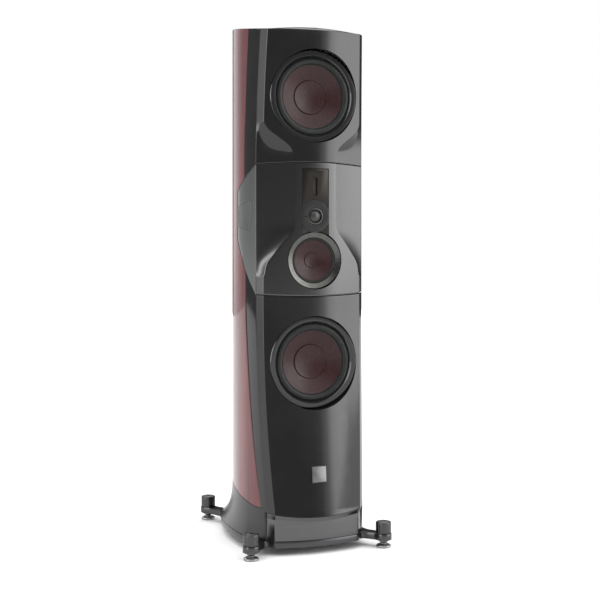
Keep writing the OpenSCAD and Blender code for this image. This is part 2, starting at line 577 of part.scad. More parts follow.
knob_front_right();
knob_rear_left();
knob_rear_right();
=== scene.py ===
import bpy, bmesh, math
import numpy as np
from mathutils import Vector, Matrix


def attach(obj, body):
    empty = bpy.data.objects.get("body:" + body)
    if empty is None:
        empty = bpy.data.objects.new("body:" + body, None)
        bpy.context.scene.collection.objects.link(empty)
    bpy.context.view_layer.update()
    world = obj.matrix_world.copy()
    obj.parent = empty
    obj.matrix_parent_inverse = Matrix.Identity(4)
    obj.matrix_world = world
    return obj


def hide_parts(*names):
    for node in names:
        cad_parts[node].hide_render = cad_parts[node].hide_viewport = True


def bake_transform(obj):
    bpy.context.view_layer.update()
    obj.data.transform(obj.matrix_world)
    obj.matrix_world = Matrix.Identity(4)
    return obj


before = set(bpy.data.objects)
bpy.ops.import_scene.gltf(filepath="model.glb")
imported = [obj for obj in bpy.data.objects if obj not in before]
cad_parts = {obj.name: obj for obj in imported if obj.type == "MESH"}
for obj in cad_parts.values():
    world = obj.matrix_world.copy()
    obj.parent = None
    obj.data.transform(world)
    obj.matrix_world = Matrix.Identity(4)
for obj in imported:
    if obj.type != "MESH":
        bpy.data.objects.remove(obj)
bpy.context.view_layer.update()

# ---------------------------------------------------------------- drawing rules (mm, drawing frame)
YO = -70.5                       # drawing frame to object frame
SR, HW, ST, BY = 387.6, 197.2, 22.0, 266.5
AXY = -19.4
WCX = HW - SR
SLO, SHI, TOPF = 801.5, 1205.5, 1623.0
FR = 436.0
CHX, CHY = 17.4, 22.8
YC0, WINGY = -135.7, -67.8
BASEZ, BASET = 24.0, 21.0
BTOP = BASEZ + BASET
YW, YMID, YTW = -172.0, -180.0, -185.5
WLO, WHI, MZ, DZ, RBZ = 588.0, 1420.5, 907.0, 1044.6, 1137.6
FEET = {"front_left": (-221, -213), "front_right": (221, -213), "rear_left": (-184, 354), "rear_right": (184, 354)}


def clampf(v, a, b):
    return a if v < a else b if v > b else v


def sstep(t):
    t = clampf(t, 0.0, 1.0)
    return t * t * (3 - 2 * t)


def lerp(a, b, t):
    return a + (b - a) * t


def pchip(xs, ys):
    xs = np.array(xs, float); ys = np.array(ys, float)
    h = np.diff(xs); d = np.diff(ys) / h
    m = np.zeros(len(xs))
    for i in range(1, len(xs) - 1):
        if d[i - 1] * d[i] > 0:
            w1 = 2 * h[i] + h[i - 1]; w2 = h[i] + 2 * h[i - 1]
            m[i] = (w1 + w2) / (w1 / d[i - 1] + w2 / d[i])
    m[0] = d[0]; m[-1] = d[-1]

    def f(x):
        x = clampf(x, xs[0], xs[-1])
        i = clampf(int(np.searchsorted(xs, x, side="right")) - 1, 0, len(xs) - 2)
        t = (x - xs[i]) / h[i]
        a = 2 * t ** 3 - 3 * t ** 2 + 1; b = t ** 3 - 2 * t ** 2 + t
        c = -2 * t ** 3 + 3 * t ** 2; e = t ** 3 - t ** 2
        return float(a * ys[i] + b * h[i] * m[i] + c * ys[i + 1] + e * h[i] * m[i + 1])
    return f


def wall_x(y, g=0.0):
    return WCX + math.sqrt((SR - g) ** 2 - (y - AXY) ** 2)


def corner_y(z):
    if z < SLO:
        return YC0 - 49.4 * ((SLO - z) / 685) ** 2
    if z > SHI:
        return YC0 - 21.3 * ((z - SHI) / 417.6) ** 2
    return YC0


def panel_y(z):
    if z < SLO:
        return -76.5 - 83.3 * ((SLO - z) / 668.6) ** 1.53
    if z > SHI:
        return WINGY - 25.2 * ((z - SHI) / 417.6) ** 1.4
    return lerp(-76.5, WINGY, (z - SLO) / (SHI - SLO))


def edge_x(z):
    return wall_x(corner_y(z)) - CHX


def edge_y(z):
    return corner_y(z) - CHY


def arc_y(z, x):
    return edge_y(z) - math.sqrt(FR * FR - x * x) + math.sqrt(FR * FR - edge_x(z) ** 2)


_ridge = pchip([843, 856, 869, 888, 904, 926, 951, 974, 997, 1012, 1030, 1196, 1212, 1228, 1246, 1265, 1289, 1312, 1332, 1347],
               [163.0, 161.5, 158.5, 155.5, 149, 132.5, 113.5, 94, 74.5, 69.5, 68, 68, 68.3, 70, 76.5, 94, 124, 150, 160.5, 163.0])
_scoop = pchip([843, 862, 880, 904, 951, 1000, 1030, 1190, 1214, 1265, 1300, 1318, 1332, 1347],
               [0, 2.6, 4.1, 4.4, 5.3, 3, 3, 3, 2.6, 1.2, 0.4, 0.2, 0.1, 0])


def scoop(z):
    """How far the hollow beside the ridge is drawn inwards."""
    return _scoop(z)


def ridge(z):
    e = edge_x(z)
    return e if z <= 843 or z >= 1347 else min(_ridge(z), e)


def roof(y):
    d = max(0.0, y + 157)
    return TOPF + 0.165 * d - 0.0001 * d * d


def roof_c(x, y):
    """Crowned roof height."""
    d = y - arc_y(TOPF, clampf(x, -160, 160))
    h = wall_x(max(y, -150.0))
    return roof(y) + 10.5 * max(0.0, 1 - (x / h) ** 2) * sstep(d / 22.0) * clampf(1 - d / 440.0, 0, 1)


def wing_back(z):
    """Rear edge of the middle module's side at height z."""
    pts = [(SLO, YC0), (840, -101.7), (878.3, -72.7), (926.3, -42.6), (974.2, -8), (1126, -8), (SHI, YC0)]
    if z <= pts[0][0] or z >= pts[-1][0]:
        return YC0
    for (z0, y0), (z1, y1) in zip(pts, pts[1:]):
        if z <= z1:
            return lerp(y0, y1, (z - z0) / (z1 - z0))


# ---------------------------------------------------------------- materials
def _nodes(name):
    m = bpy.data.materials.new(name)
    m.use_nodes = True
    nt = m.node_tree
    return m, nt, nt.nodes["Principled BSDF"]


def N(nt, kind, **kw):
    n = nt.nodes.new(kind)
    for k, v in kw.items():
        setattr(n, k, v)
    return n


def coords(nt, scale=(1, 1, 1)):
    tc = N(nt, "ShaderNodeTexCoord")
    mp = N(nt, "ShaderNodeMapping")
    mp.inputs["Scale"].default_value = scale
    nt.links.new(tc.outputs["Object"], mp.inputs["Vector"])
    return mp.outputs["Vector"]


def noise(nt, vec, scale, detail=4, rough=0.5):
    n = N(nt, "ShaderNodeTexNoise")
    n.inputs["Scale"].default_value = scale
    n.inputs["Detail"].default_value = detail
    n.inputs["Roughness"].default_value = rough
    nt.links.new(vec, n.inputs["Vector"])
    return n.outputs["Fac"]


def set_ramp(cr, stops):
    """Stops in rising order of position."""
    el = cr.elements
    while len(el) > 1:
        el.remove(el[-1])
    el[0].position = stops[0][0]
    el[0].color = (*stops[0][1][:3], 1)
    for p, c in stops[1:]:
        q = el.new(p)
        q.color = (*c[:3], 1)


def ramp(nt, fac, stops):
    r = N(nt, "ShaderNodeValToRGB")
    set_ramp(r.color_ramp, stops)
    nt.links.new(fac, r.inputs["Fac"])
    return r.outputs["Color"]


def maprange(nt, fac, lo, hi, a=0.0, b=1.0):
    n = N(nt, "ShaderNodeMapRange")
    n.inputs["From Min"].default_value = a
    n.inputs["From Max"].default_value = b
    n.inputs["To Min"].default_value = lo
    n.inputs["To Max"].default_value = hi
    nt.links.new(fac, n.inputs["Value"])
    return n.outputs["Result"]


def bump(nt, bsdf, height, strength, dist, coat=False):
    b = N(nt, "ShaderNodeBump")
    b.inputs["Strength"].default_value = strength
    b.inputs["Distance"].default_value = dist
    nt.links.new(height, b.inputs["Height"])
    nt.links.new(b.outputs["Normal"], bsdf.inputs["Normal"])
    if coat:
        nt.links.new(b.outputs["Normal"], bsdf.inputs["Coat Normal"])
    return b


def mat_lacquer(name, base, rough=0.07, orange=0.00006):
    m, nt, p = _nodes(name)
    v = coords(nt)
    nt.links.new(ramp(nt, noise(nt, v, 9, 5), [(0.3, [c * 0.8 for c in base]), (0.75, [c * 1.25 for c in base])]),
                 p.inputs["Base Color"])
    nt.links.new(maprange(nt, noise(nt, v, 26, 6, 0.6), rough * 0.8, rough * 1.35, 0.3, 0.7), p.inputs["Roughness"])
    bump(nt, p, noise(nt, v, 160, 2), 0.25, orange)
    return m


def mat_satin(name, base, rough=0.3, metallic=1.0, grain=900, depth=0.00008, spread=0.06):
    m, nt, p = _nodes(name)
    v = coords(nt)
    p.inputs["Metallic"].default_value = metallic
    f = noise(nt, v, grain, 3, 0.6)
    nt.links.new(ramp(nt, noise(nt, v, 160, 6, 0.65), [(0.25, [c * (1 - spread) for c in base]), (0.8, [c * (1 + spread) for c in base])]),
                 p.inputs["Base Color"])
    nt.links.new(maprange(nt, noise(nt, v, 220, 5, 0.6), rough * 0.93, rough * 1.08, 0.3, 0.7), p.inputs["Roughness"])
    bump(nt, p, f, 0.35, depth)
    return m


def mat_veneer(name):
    m, nt, p = _nodes(name)
    v = coords(nt, (1, 1, 0.045))
    v2 = coords(nt, (1, 1, 0.012))
    w = N(nt, "ShaderNodeTexNoise")
    w.inputs["Scale"].default_value = 60
    w.inputs["Detail"].default_value = 8
    w.inputs["Roughness"].default_value = 0.62
    w.inputs["Distortion"].default_value = 0.35
    nt.links.new(v, w.inputs["Vector"])
    broad = noise(nt, v2, 26, 3, 0.5)
    mix = N(nt, "ShaderNodeMix", data_type="RGBA", blend_type="MULTIPLY")
    mix.inputs["Factor"].default_value = 0.85
    c1 = ramp(nt, w.outputs["Fac"], [(0.30, (0.035, 0.008, 0.010)), (0.47, (0.105, 0.022, 0.026)),
                                     (0.56, (0.150, 0.034, 0.036)), (0.75, (0.080, 0.015, 0.019))])
    c2 = ramp(nt, broad, [(0.3, (0.62, 0.6, 0.62)), (0.7, (1.0, 1.0, 1.0))])
    nt.links.new(c1, mix.inputs["A"]); nt.links.new(c2, mix.inputs["B"])
    nt.links.new(mix.outputs["Result"], p.inputs["Base Color"])
    p.inputs["Coat Weight"].default_value = 0.8
    p.inputs["Coat Roughness"].default_value = 0.05
    p.inputs["Coat IOR"].default_value = 1.32
    p.inputs["Specular IOR Level"].default_value = 0.25
    nt.links.new(maprange(nt, w.outputs["Fac"], 0.28, 0.5, 0.3, 0.7), p.inputs["Roughness"])
    b = N(nt, "ShaderNodeBump")
    b.inputs["Strength"].default_value = 0.15
    b.inputs["Distance"].default_value = 0.0001
    nt.links.new(w.outputs["Fac"], b.inputs["Height"])
    nt.links.new(b.outputs["Normal"], p.inputs["Normal"])
    return m


def mat_fibre(name, base=(0.026, 0.0086, 0.0098)):
    """Pressed pulp with fibres of random direction and a thin sealing coat."""
    m, nt, p = _nodes(name)
    p.inputs["Specular IOR Level"].default_value = 0.24
    v = coords(nt)
    streaks = []
    for s, rot in ((1.0, 0.3), (1.0, 1.25), (1.0, 2.2)):
        tc = N(nt, "ShaderNodeTexCoord")
        mp = N(nt, "ShaderNodeMapping")
        mp.inputs["Rotation"].default_value = (0, rot, 0)
        mp.inputs["Scale"].default_value = (1, 1, 0.16)
        nt.links.new(tc.outputs["Object"], mp.inputs["Vector"])
        streaks.append(noise(nt, mp.outputs["Vector"], 260, 4, 0.6))
    a = N(nt, "ShaderNodeMath", operation="MAXIMUM")
    b = N(nt, "ShaderNodeMath", operation="MAXIMUM")
    nt.links.new(streaks[0], a.inputs[0]); nt.links.new(streaks[1], a.inputs[1])
    nt.links.new(a.outputs[0], b.inputs[0]); nt.links.new(streaks[2], b.inputs[1])
    nt.links.new(ramp(nt, b.outputs[0], [(0.45, [c * 0.7 for c in base]), (0.6, base), (0.74, [base[0] * 2.0, base[1] * 2.1, base[2] * 2.0])]),
                 p.inputs["Base Color"])
    nt.links.new(maprange(nt, noise(nt, v, 60, 4), 0.33, 0.42, 0.3, 0.7), p.inputs["Roughness"])
    bump(nt, p, b.outputs[0], 0.3, 0.00012)
    return m


def mat_rubber(name, base=(0.0065, 0.0075, 0.0070), rough=0.50):
    m, nt, p = _nodes(name)
    p.inputs["Specular IOR Level"].default_value = 0.28
    v = coords(nt)
    nt.links.new(ramp(nt, noise(nt, v, 30, 5), [(0.3, [c * 0.8 for c in base]), (0.7, [c * 1.3 for c in base])]), p.inputs["Base Color"])
    nt.links.new(maprange(nt, noise(nt, v, 55, 5), rough * 0.85, rough * 1.2, 0.3, 0.7), p.inputs["Roughness"])
    bump(nt, p, noise(nt, v, 1400, 2), 0.25, 0.00008)
    return m


def mat_brushed(name, base, rough=0.3, axis="x", metallic=1.0):
    m, nt, p = _nodes(name)
    sc = {"x": (0.02, 1, 1), "y": (1, 0.02, 1), "z": (1, 1, 0.02)}[axis]
    v = coords(nt, sc)
    g = noise(nt, v, 1500, 3, 0.7)
    p.inputs["Metallic"].default_value = metallic
    nt.links.new(ramp(nt, g, [(0.25, [c * 0.78 for c in base]), (0.75, [c * 1.18 for c in base])]), p.inputs["Base Color"])
    nt.links.new(maprange(nt, g, rough * 0.75, rough * 1.3, 0.3, 0.7), p.inputs["Roughness"])
    bump(nt, p, g, 0.3, 0.00005)
    return m


def mat_radial(name, base, rough=0.32, count=150, depth=0.00012, centre=(0, 0), turned=False):
    """Metal with fine radial ribs, or fine turned rings, about the Y axis through centre (x, z)."""
    m, nt, p = _nodes(name)
    tc = N(nt, "ShaderNodeTexCoord")
    sep = N(nt, "ShaderNodeSeparateXYZ")
    nt.links.new(tc.outputs["Object"], sep.inputs[0])
    dx = N(nt, "ShaderNodeMath", operation="SUBTRACT"); dx.inputs[1].default_value = centre[0]
    dz = N(nt, "ShaderNodeMath", operation="SUBTRACT"); dz.inputs[1].default_value = centre[1]
    nt.links.new(sep.outputs["X"], dx.inputs[0]); nt.links.new(sep.outputs["Z"], dz.inputs[0])
    if turned:
        cx = N(nt, "ShaderNodeCombineXYZ")
        nt.links.new(dx.outputs[0], cx.inputs["X"]); nt.links.new(dz.outputs[0], cx.inputs["Z"])
        ln = N(nt, "ShaderNodeVectorMath", operation="LENGTH")
        nt.links.new(cx.outputs[0], ln.inputs[0])
        src, k = ln.outputs["Value"], count * 1000.0
    else:
        at = N(nt, "ShaderNodeMath", operation="ARCTAN2")
        nt.links.new(dz.outputs[0], at.inputs[0]); nt.links.new(dx.outputs[0], at.inputs[1])
        src, k = at.outputs[0], count
    ml = N(nt, "ShaderNodeMath", operation="MULTIPLY"); ml.inputs[1].default_value = k
    sn = N(nt, "ShaderNodeMath", operation="SINE")
    nt.links.new(src, ml.inputs[0]); nt.links.new(ml.outputs[0], sn.inputs[0])
    p.inputs["Metallic"].default_value = 1.0
    v = coords(nt)
    nt.links.new(ramp(nt, noise(nt, v, 70, 5, 0.65), [(0.3, [c * 0.82 for c in base]), (0.75, [c * 1.15 for c in base])]), p.inputs["Base Color"])
    nt.links.new(maprange(nt, noise(nt, v, 300, 4), rough * 0.8, rough * 1.25, 0.3, 0.7), p.inputs["Roughness"])
    bump(nt, p, sn.outputs[0], 0.5, depth)
    return m


def mat_plain(name, base, rough, metallic=0.0, scale=120, spread=0.25, depth=0.0001):
    m, nt, p = _nodes(name)
    v = coords(nt)
    p.inputs["Metallic"].default_value = metallic
    nt.links.new(ramp(nt, noise(nt, v, scale, 5, 0.6), [(0.25, [c * (1 - spread) for c in base]), (0.75, [c * (1 + spread) for c in base])]),
                 p.inputs["Base Color"])
    nt.links.new(maprange(nt, noise(nt, v, scale * 0.4, 4), rough * 0.85, min(1, rough * 1.2), 0.3, 0.7), p.inputs["Roughness"])
    bump(nt, p, noise(nt, v, scale * 6, 3), 0.3, depth)
    return m


M = {}
M["black_lacquer"] = mat_lacquer("black_lacquer", (0.0075, 0.0075, 0.008), 0.06)
M["ring_gloss"] = mat_lacquer("ring_gloss", (0.009, 0.009, 0.0095), 0.10)
M["veneer"] = mat_veneer("veneer")
M["cast"] = mat_satin("cast_satin_black", (0.075, 0.075, 0.076), 0.22)
M["cast_side"] = mat_satin("cast_satin_side", (0.200, 0.210, 0.206), 0.33)
M["plate"] = mat_satin("tweeter_plate_satin", (0.035, 0.032, 0.0285), 0.30)
M["disc"] = mat_satin("dome_plate_satin", (0.042, 0.042, 0.042), 0.30)
M["rubber"] = mat_rubber("surround_rubber")
M["fibre"] = mat_fibre("fibre_cone")
M["ring_satin"] = mat_radial("ring_satin", (0.090, 0.090, 0.085), 0.24, 120, 0.00010, (0, MZ * 0.001))
M["steel"] = mat_brushed("steel", (0.42, 0.42, 0.43), 0.32, "z")
M["foot"] = mat_satin("foot_satin", (0.30, 0.30, 0.31), 0.30)
M["knob"] = mat_satin("knob_satin", (0.070, 0.070, 0.072), 0.30)
M["knob_top"] = mat_satin("knob_top_satin", (0.32, 0.32, 0.325), 0.34)
M["base"] = mat_satin("base_satin", (0.075, 0.075, 0.077), 0.30)
M["skirt"] = mat_satin("skirt_satin", (0.010, 0.010, 0.0105), 0.30, metallic=0.0)
M["grey"] = mat_satin("plinth_grey", (0.105, 0.105, 0.107), 0.24)
M["badge"] = mat_brushed("badge_metal", (0.15, 0.15, 0.15), 0.38, "x")
M["gloss_black"] = mat_lacquer("trim_gloss", (0.006, 0.006, 0.006), 0.12)
M["dome"] = mat_plain("dome_cloth", (0.020, 0.019, 0.018), 0.36, 0.0, 900, 0.3, 0.00015)
M["bezel"] = mat_satin("bezel_satin", (0.075, 0.075, 0.074), 0.26)
M["film"] = mat_plain("ribbon_film", (0.045, 0.041, 0.035), 0.35, 0.4, 500, 0.2, 0.00005)
M["dark"] = mat_plain("dark_inside", (0.006, 0.006, 0.006), 0.6)
M["port"] = mat_plain("port_plastic", (0.012, 0.012, 0.013), 0.42, 0.0, 400, 0.2, 0.0001)
M["brass"] = mat_plain("terminal_gold", (0.72, 0.50, 0.20), 0.24, 1.0, 300, 0.08, 0.00004)
M["terminal"] = mat_brushed("terminal_black", (0.05, 0.05, 0.052), 0.32, "x")
M["basket"] = mat_plain("basket_cast", (0.022, 0.022, 0.022), 0.5, 0.0, 300, 0.2, 0.0002)
M["motor"] = mat_plain("motor_steel", (0.09, 0.09, 0.095), 0.45, 0.6, 200, 0.2, 0.0001)
M["board"] = mat_plain("board_wood", (0.30, 0.21, 0.13), 0.7, 0.0, 350, 0.25, 0.0002)
M["copper"] = mat_plain("copper_wire", (0.60, 0.26, 0.12), 0.35, 1.0, 900, 0.15, 0.0001)
M["pcb"] = mat_plain("crossover_board", (0.04, 0.11, 0.065), 0.5, 0.0, 200, 0.2, 0.0001)

# ---------------------------------------------------------------- mesh helpers
def make(name, verts, faces, mat, angle=35, fix=True, merge=0.0):
    """Object from drawing-frame millimetres."""
    v = np.array(verts, float)
    v[:, 1] += YO
    v *= 0.001
    me = bpy.data.meshes.new(name)
    me.from_pydata([tuple(p) for p in v], [], [tuple(f) for f in faces])
    ob = bpy.data.objects.new(name, me)
    bpy.context.collection.objects.link(ob)
    if fix or merge:
        bm = bmesh.new(); bm.from_mesh(me)
        if merge:
            bmesh.ops.remove_doubles(bm, verts=bm.verts, dist=merge)
            bmesh.ops.dissolve_degenerate(bm, edges=bm.edges, dist=1e-7)
        bmesh.ops.recalc_face_normals(bm, faces=bm.faces)
        bm.to_mesh(me); bm.free()
    me.materials.append(M[mat] if isinstance(mat, str) else mat)
    shade(ob, angle)
    return ob


def shade(ob, angle=35):
    ob.data.shade_smooth()
    ob.data.set_sharp_from_angle(angle=math.radians(angle))


def bake(ob, angle=35):
    """Applies every modifier."""
    dg = bpy.context.evaluated_depsgraph_get()
    me = bpy.data.meshes.new_from_object(ob.evaluated_get(dg), depsgraph=dg)
    ob.modifiers.clear()
    ob.data = me
    shade(ob, angle)
    return ob


def cut(ob, cutters, angle=35):
    for i, c in enumerate(cutters):
        md = ob.modifiers.new("cut%d" % i, "BOOLEAN")
        md.operation = "DIFFERENCE"; md.solver = "EXACT"; md.object = c
    bake(ob, angle)
    for c in cutters:
        bpy.data.objects.remove(c)
    return ob


def bevel(ob, width, seg=2, angle=35, limit=35):
    md = ob.modifiers.new("bevel", "BEVEL")
    md.width = width * 0.001; md.segments = seg; md.limit_method = "ANGLE"
    md.angle_limit = math.radians(limit); md.harden_normals = False
    return bake(ob, angle)


def join(name, obs, angle=None):
    """Joins objects into the first, keeping each one's materials."""
    mats, verts, faces, idx, smooth, sharp = [], [], [], [], [], []
    bm = bmesh.new()
    for o in obs:
        base = len(bm.verts)
        me = o.data
        remap = []
        for m in me.materials:
            if m not in mats:
                mats.append(m)
            remap.append(mats.index(m))
        n0 = len(bm.faces)
        bm.from_mesh(me)
        bm.faces.ensure_lookup_table()
        for f in bm.faces[n0:]:
            f.material_index = remap[f.material_index] if remap else 0
    me = bpy.data.meshes.new(name)
    bm.to_mesh(me); bm.free()
    for m in mats:
        me.materials.append(m)
    ob = bpy.data.objects.new(name, me)
    bpy.context.collection.objects.link(ob)
    for o in obs:
        bpy.data.objects.remove(o)
    if angle:
        shade(ob, angle)
    return ob


def put(ob, body, slot, *nodes):
    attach(ob, body)
    if nodes:
        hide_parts(*nodes)
    return ob


def flex(ob, node, centre, rest_r, move_r, deep=None):
    """A soft piece: hides the built node and bakes its transform; a blend weight from its outer edge to its inner edge
    is computed but not applied.
    """
    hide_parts(node)
    cx, cy, cz = centre
    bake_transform(ob)
    co = np.empty(len(ob.data.vertices) * 3)
    ob.data.vertices.foreach_get("co", co)
    co = co.reshape(-1, 3) * 1000
    r = np.hypot(co[:, 0] - cx, co[:, 2] - cz)
    w = np.clip((rest_r - r) / (rest_r - move_r), 0, 1)
    if deep:
        d, r1, r0 = deep
        far = (co[:, 1] - YO - cy) > d
        w = np.where(far, np.clip((r1 - r) / (r1 - r0), 0, 1), w)
    w = w * w * (3 - 2 * w)
    return ob


def to_driver(x, y, z):
    """local (x, up, depth) -> drawing frame: depth runs into the cabinet."""
    return lambda p: (x + p[0], y + p[2], z + p[1])


def lathe(name, prof, place, mat, seg=128, angle=35, closed=True, caps=False):
    """Turns a profile of (r, depth) about the depth axis."""
    n = len(prof)
    verts, faces = [], []
    axis = {}
    for k in range(seg):
        a = 2 * math.pi * k / seg
        for i, (r, d) in enumerate(prof):
            verts.append(place((r * math.cos(a), r * math.sin(a), d)))
    rng = n if closed else n - 1
    for k in range(seg):
        k2 = (k + 1) % seg
        for i in range(rng):
            j = (i + 1) % n
            faces.append((k * n + i, k * n + j, k2 * n + j, k2 * n + i))
    return make(name, verts, faces, mat, angle, merge=1e-6)


def rounded(pts, rad, steps=4):
    """Fillets the corners of a closed polygon; rad is one radius or a list."""
    out = []
    n = len(pts)
    for i in range(n):
        p0, p1, p2 = (np.array(pts[(i + k) % n], float) for k in (-1, 0, 1))
        r = rad[i] if isinstance(rad, (list, tuple)) else rad
        a = p0 - p1; b = p2 - p1
        la, lb = np.linalg.norm(a), np.linalg.norm(b)
        if r <= 0 or la < 1e-6 or lb < 1e-6:
            out.append(tuple(p1)); continue
        a /= la; b /= lb
        cosv = clampf(float(a @ b), -1, 1)
        th = math.acos(cosv)
        if th > math.pi - 0.05:
            out.append(tuple(p1)); continue
        t = min(r / math.tan(th / 2), la * 0.48, lb * 0.48)
        for s in range(steps + 1):
            u = s / steps
            q = (1 - u) ** 2 * (p1 + a * t) + 2 * u * (1 - u) * p1 + u ** 2 * (p1 + b * t)
            out.append(tuple(q))
    return out


def cyl_cutter(place, r, d0, d1, seg=160):
    return lathe("cutter", [(0, d0), (r, d0), (r, d1), (0, d1)], place, "dark", seg, closed=False)


def box_mesh(name, lo, hi, mat, bev=0.0, seg=2):
    x0, y0, z0 = lo; x1, y1, z1 = hi
    v = [(x, y, z) for x in (x0, x1) for y in (y0, y1) for z in (z0, z1)]
    f = [(0, 1, 3, 2), (4, 6, 7, 5), (0, 4, 5, 1), (2, 3, 7, 6), (0, 2, 6, 4), (1, 5, 7, 3)]
    ob = make(name, v, f, mat)
    if bev:
        bevel(ob, bev, seg)
    return ob


def grid_faces(nu, nv, closed_u=False):
    f = []
    for j in range(nv - 1):
        for i in range(nu if closed_u else nu - 1):
            i2 = (i + 1) % nu
            f.append((j * nu + i, j * nu + i2, (j + 1) * nu + i2, (j + 1) * nu + i))
    return f


# ---------------------------------------------------------------- front skins
def zrange(z0, z1, step, extra=()):
    n = max(1, int(math.ceil((z1 - z0) / step)))
    v = [z0 + (z1 - z0) * i / n for i in range(n + 1)]
    for e in extra:
        if z0 < e < z1:
            v.append(e)
    v = sorted(v)
    out = [v[0]]
    for a in v[1:]:
        if a - out[-1] > 0.15:
            out.append(a)
    out[-1] = z1
    return out


def front_half(z, full=True):
    """Half front outline at height z from the centre to the side corner: (x, y)."""
    e, ey, cy = edge_x(z), edge_y(z), corner_y(z)
    xe = wall_x(cy)
    r = ridge(z)
    pts = []
    has = 843 < z < 1347 and r < e - 0.6
    if has:
        R = np.array([r, arc_y(z, r)]); C = np.array([xe, cy])
        d = C - R; L = np.linalg.norm(d); d = d / max(L, 1e-6)
        K = (R + C) / 2 + np.array([-d[1], d[0]]) * scoop(z)
        q = min(3.2, L * 0.3)
        for i in range(15):
            x = (r - 3.2) * i / 14
            pts.append((x, arc_y(z, x)))
        a = np.array([r - 3.2, arc_y(z, r - 3.2)])

        def bez(u):
            return (1 - u) ** 2 * R + 2 * u * (1 - u) * K + u * u * C
        u0 = q / max(L, 1e-6)
        b = bez(u0)
        for u in (0.25, 0.5, 0.75):
            pts.append(tuple((1 - u) ** 2 * a + 2 * u * (1 - u) * R + u ** 2 * b))
        for i in range(14):
            pts.append(tuple(bez(lerp(u0, 0.93, i / 13))))
    else:
        for i in range(15):
            x = (e - 3.2) * i / 14
            pts.append((x, arc_y(z, x)))
        a = np.array([e - 3.2, arc_y(z, e - 3.2)]); R = np.array([e, ey]); C = np.array([xe, cy])
        d = C - R; L = np.linalg.norm(d); d /= L
        b = R + d * 1.7
        for s in (0.25, 0.5, 0.75):
            pts.append(tuple((1 - s) ** 2 * a + 2 * s * (1 - s) * R + s ** 2 * b))
        for i in range(10):
            s = i / 9
            p = b + (R + d * (L * 0.5) - b) * s
            pts.append(tuple(p))
        for s in (0.55, 0.62, 0.70, 0.82):
            pts.append(tuple(R + (C - R) * s))
    return pts


def corner_round(z, back_dir, k=1.6):
    """Rounded corner where the front meets the side wall."""
    cy = corner_y(z)
    C = np.array([wall_x(cy), cy])
    P = np.array(front_half(z)[-1])
    d = P - C; L = np.linalg.norm(d); d = d / max(L, 1e-6)
    B = np.array([wall_x(cy + k), cy + k])
    A = C + d * min(k, L * 0.6)
    return [tuple((1 - s) ** 2 * A + 2 * s * (1 - s) * C + s ** 2 * B) for s in (0.0, 0.33, 0.66, 1.0)]


def skin(name, rings, mat, angle=35, caps=True, closed=True):
    """Closed skin over rings of equal length; each ring is a closed loop of (x, y, z)."""
    n = len(rings[0])
    verts = [p for r in rings for p in r]
    faces = []
    for j in range(len(rings) - 1):
        for i in range(n if closed else n - 1):
            i2 = (i + 1) % n
            faces.append((j * n + i, j * n + i2, (j + 1) * n + i2, (j + 1) * n + i))
    if caps:
        faces.append(tuple(range(n - 1, -1, -1)))
        faces.append(tuple((len(rings) - 1) * n + i for i in range(n)))
    return make(name, verts, faces, mat, angle)


def mirror_ring(half, back):
    """half: centre -> side on +x. back: the way home from the side to the centre on +x.
    Returns the whole closed loop starting at centre front."""
    right = half + back
    left = [(-x, y, z) for (x, y, z) in right[1:-1]][::-1] if abs(right[0][0]) < 1e-9 and abs(right[-1][0]) < 1e-9 else [(-x, y, z) for (x, y, z) in right][::-1]
    return right + left


def bowz(x, amt):
    return amt * max(0.0, 1 - (x / 180.0) ** 2)


def baffle_ring(z_of, z, depth, wall_in=0.0, extra=None):
    """Loop of a front baffle at parameter height z; z_of(x, y, z) warps the height."""
    half = []
    for (x, y) in front_half(z) + corner_round(z, None):
        half.append((x, y, z_of(x, y, z)))
    # short return along the side wall, then straight across behind the skin
    cy = corner_y(z)
    pf = panel_y(z)
    back = []
    for s in (0.35, 0.7, 0.97, 1.0):
        y = lerp(cy + 1.6, pf, s)
        g = 0 if s < 0.99 else 1.5
        back.append((wall_x(y, g), y, z_of(wall_x(y), y, z)))
    yb = min(pf, cy + 60)
    back.append((wall_x(pf) - 20, pf, z_of(wall_x(pf) - 20, pf, z)))
    yin = arc_y(z, 0) + depth
    for s in (0.75, 0.5, 0.25, 0.0):
        x = (wall_x(pf) - 20) * s
        yy = lerp(yin, pf, s ** 2)
        back.append((x, yy, z_of(x, yy, z)))
    return mirror_ring(half, back)


# upper baffle: joint bowed up at the centre; its sides follow the wing's upper line
def zu(x, y, z):
    """Upper baffle: z in [SHI, TOPF] mapped so the bottom follows the joint."""
    t = (z - SHI) / (TOPF - SHI)
    low = SHI + 1.2 + bowz(x, 6.8)
    if y > YC0:
        low -= 0.622 * (y - YC0)
    return low + (TOPF - low) * t if z < TOPF else TOPF


def zl(x, y, z):
    """Lower baffle: z in [116, SLO] mapped so the top follows the joint and the bottom its rise."""
    t = (z - 116.0) / (SLO - 116.0)
    up = SLO - 1.2 - bowz(x, 6.0)
    if y > YC0:
        up += 1.33 * (y - YC0)
    lowz = 116.0 + 16 * (min(abs(x), 165) / 160.0) ** 2
    return lowz + (up - lowz) * t


def ring_scale_in(ring, d, cx=0.0):
    """Moves a closed loop inwards by d in plan (for rounded ends)."""
    P = np.array(ring)
    n = len(P)
    out = []
    for i in range(n):
        a = P[(i - 1) % n][:2]; b = P[(i + 1) % n][:2]
        t = b - a
        L = np.linalg.norm(t)
        if L < 1e-9:
            out.append(tuple(P[i])); continue
        nrm = np.array([-t[1], t[0]]) / L
        q = P[i][:2] + nrm * d
        out.append((q[0], q[1], P[i][2]))
    return out


def loop_area(ring):
    P = np.array(ring)
    x, y = P[:, 0], P[:, 1]
    return 0.5 * float(np.sum(x * np.roll(y, -1) - np.roll(x, -1) * y))


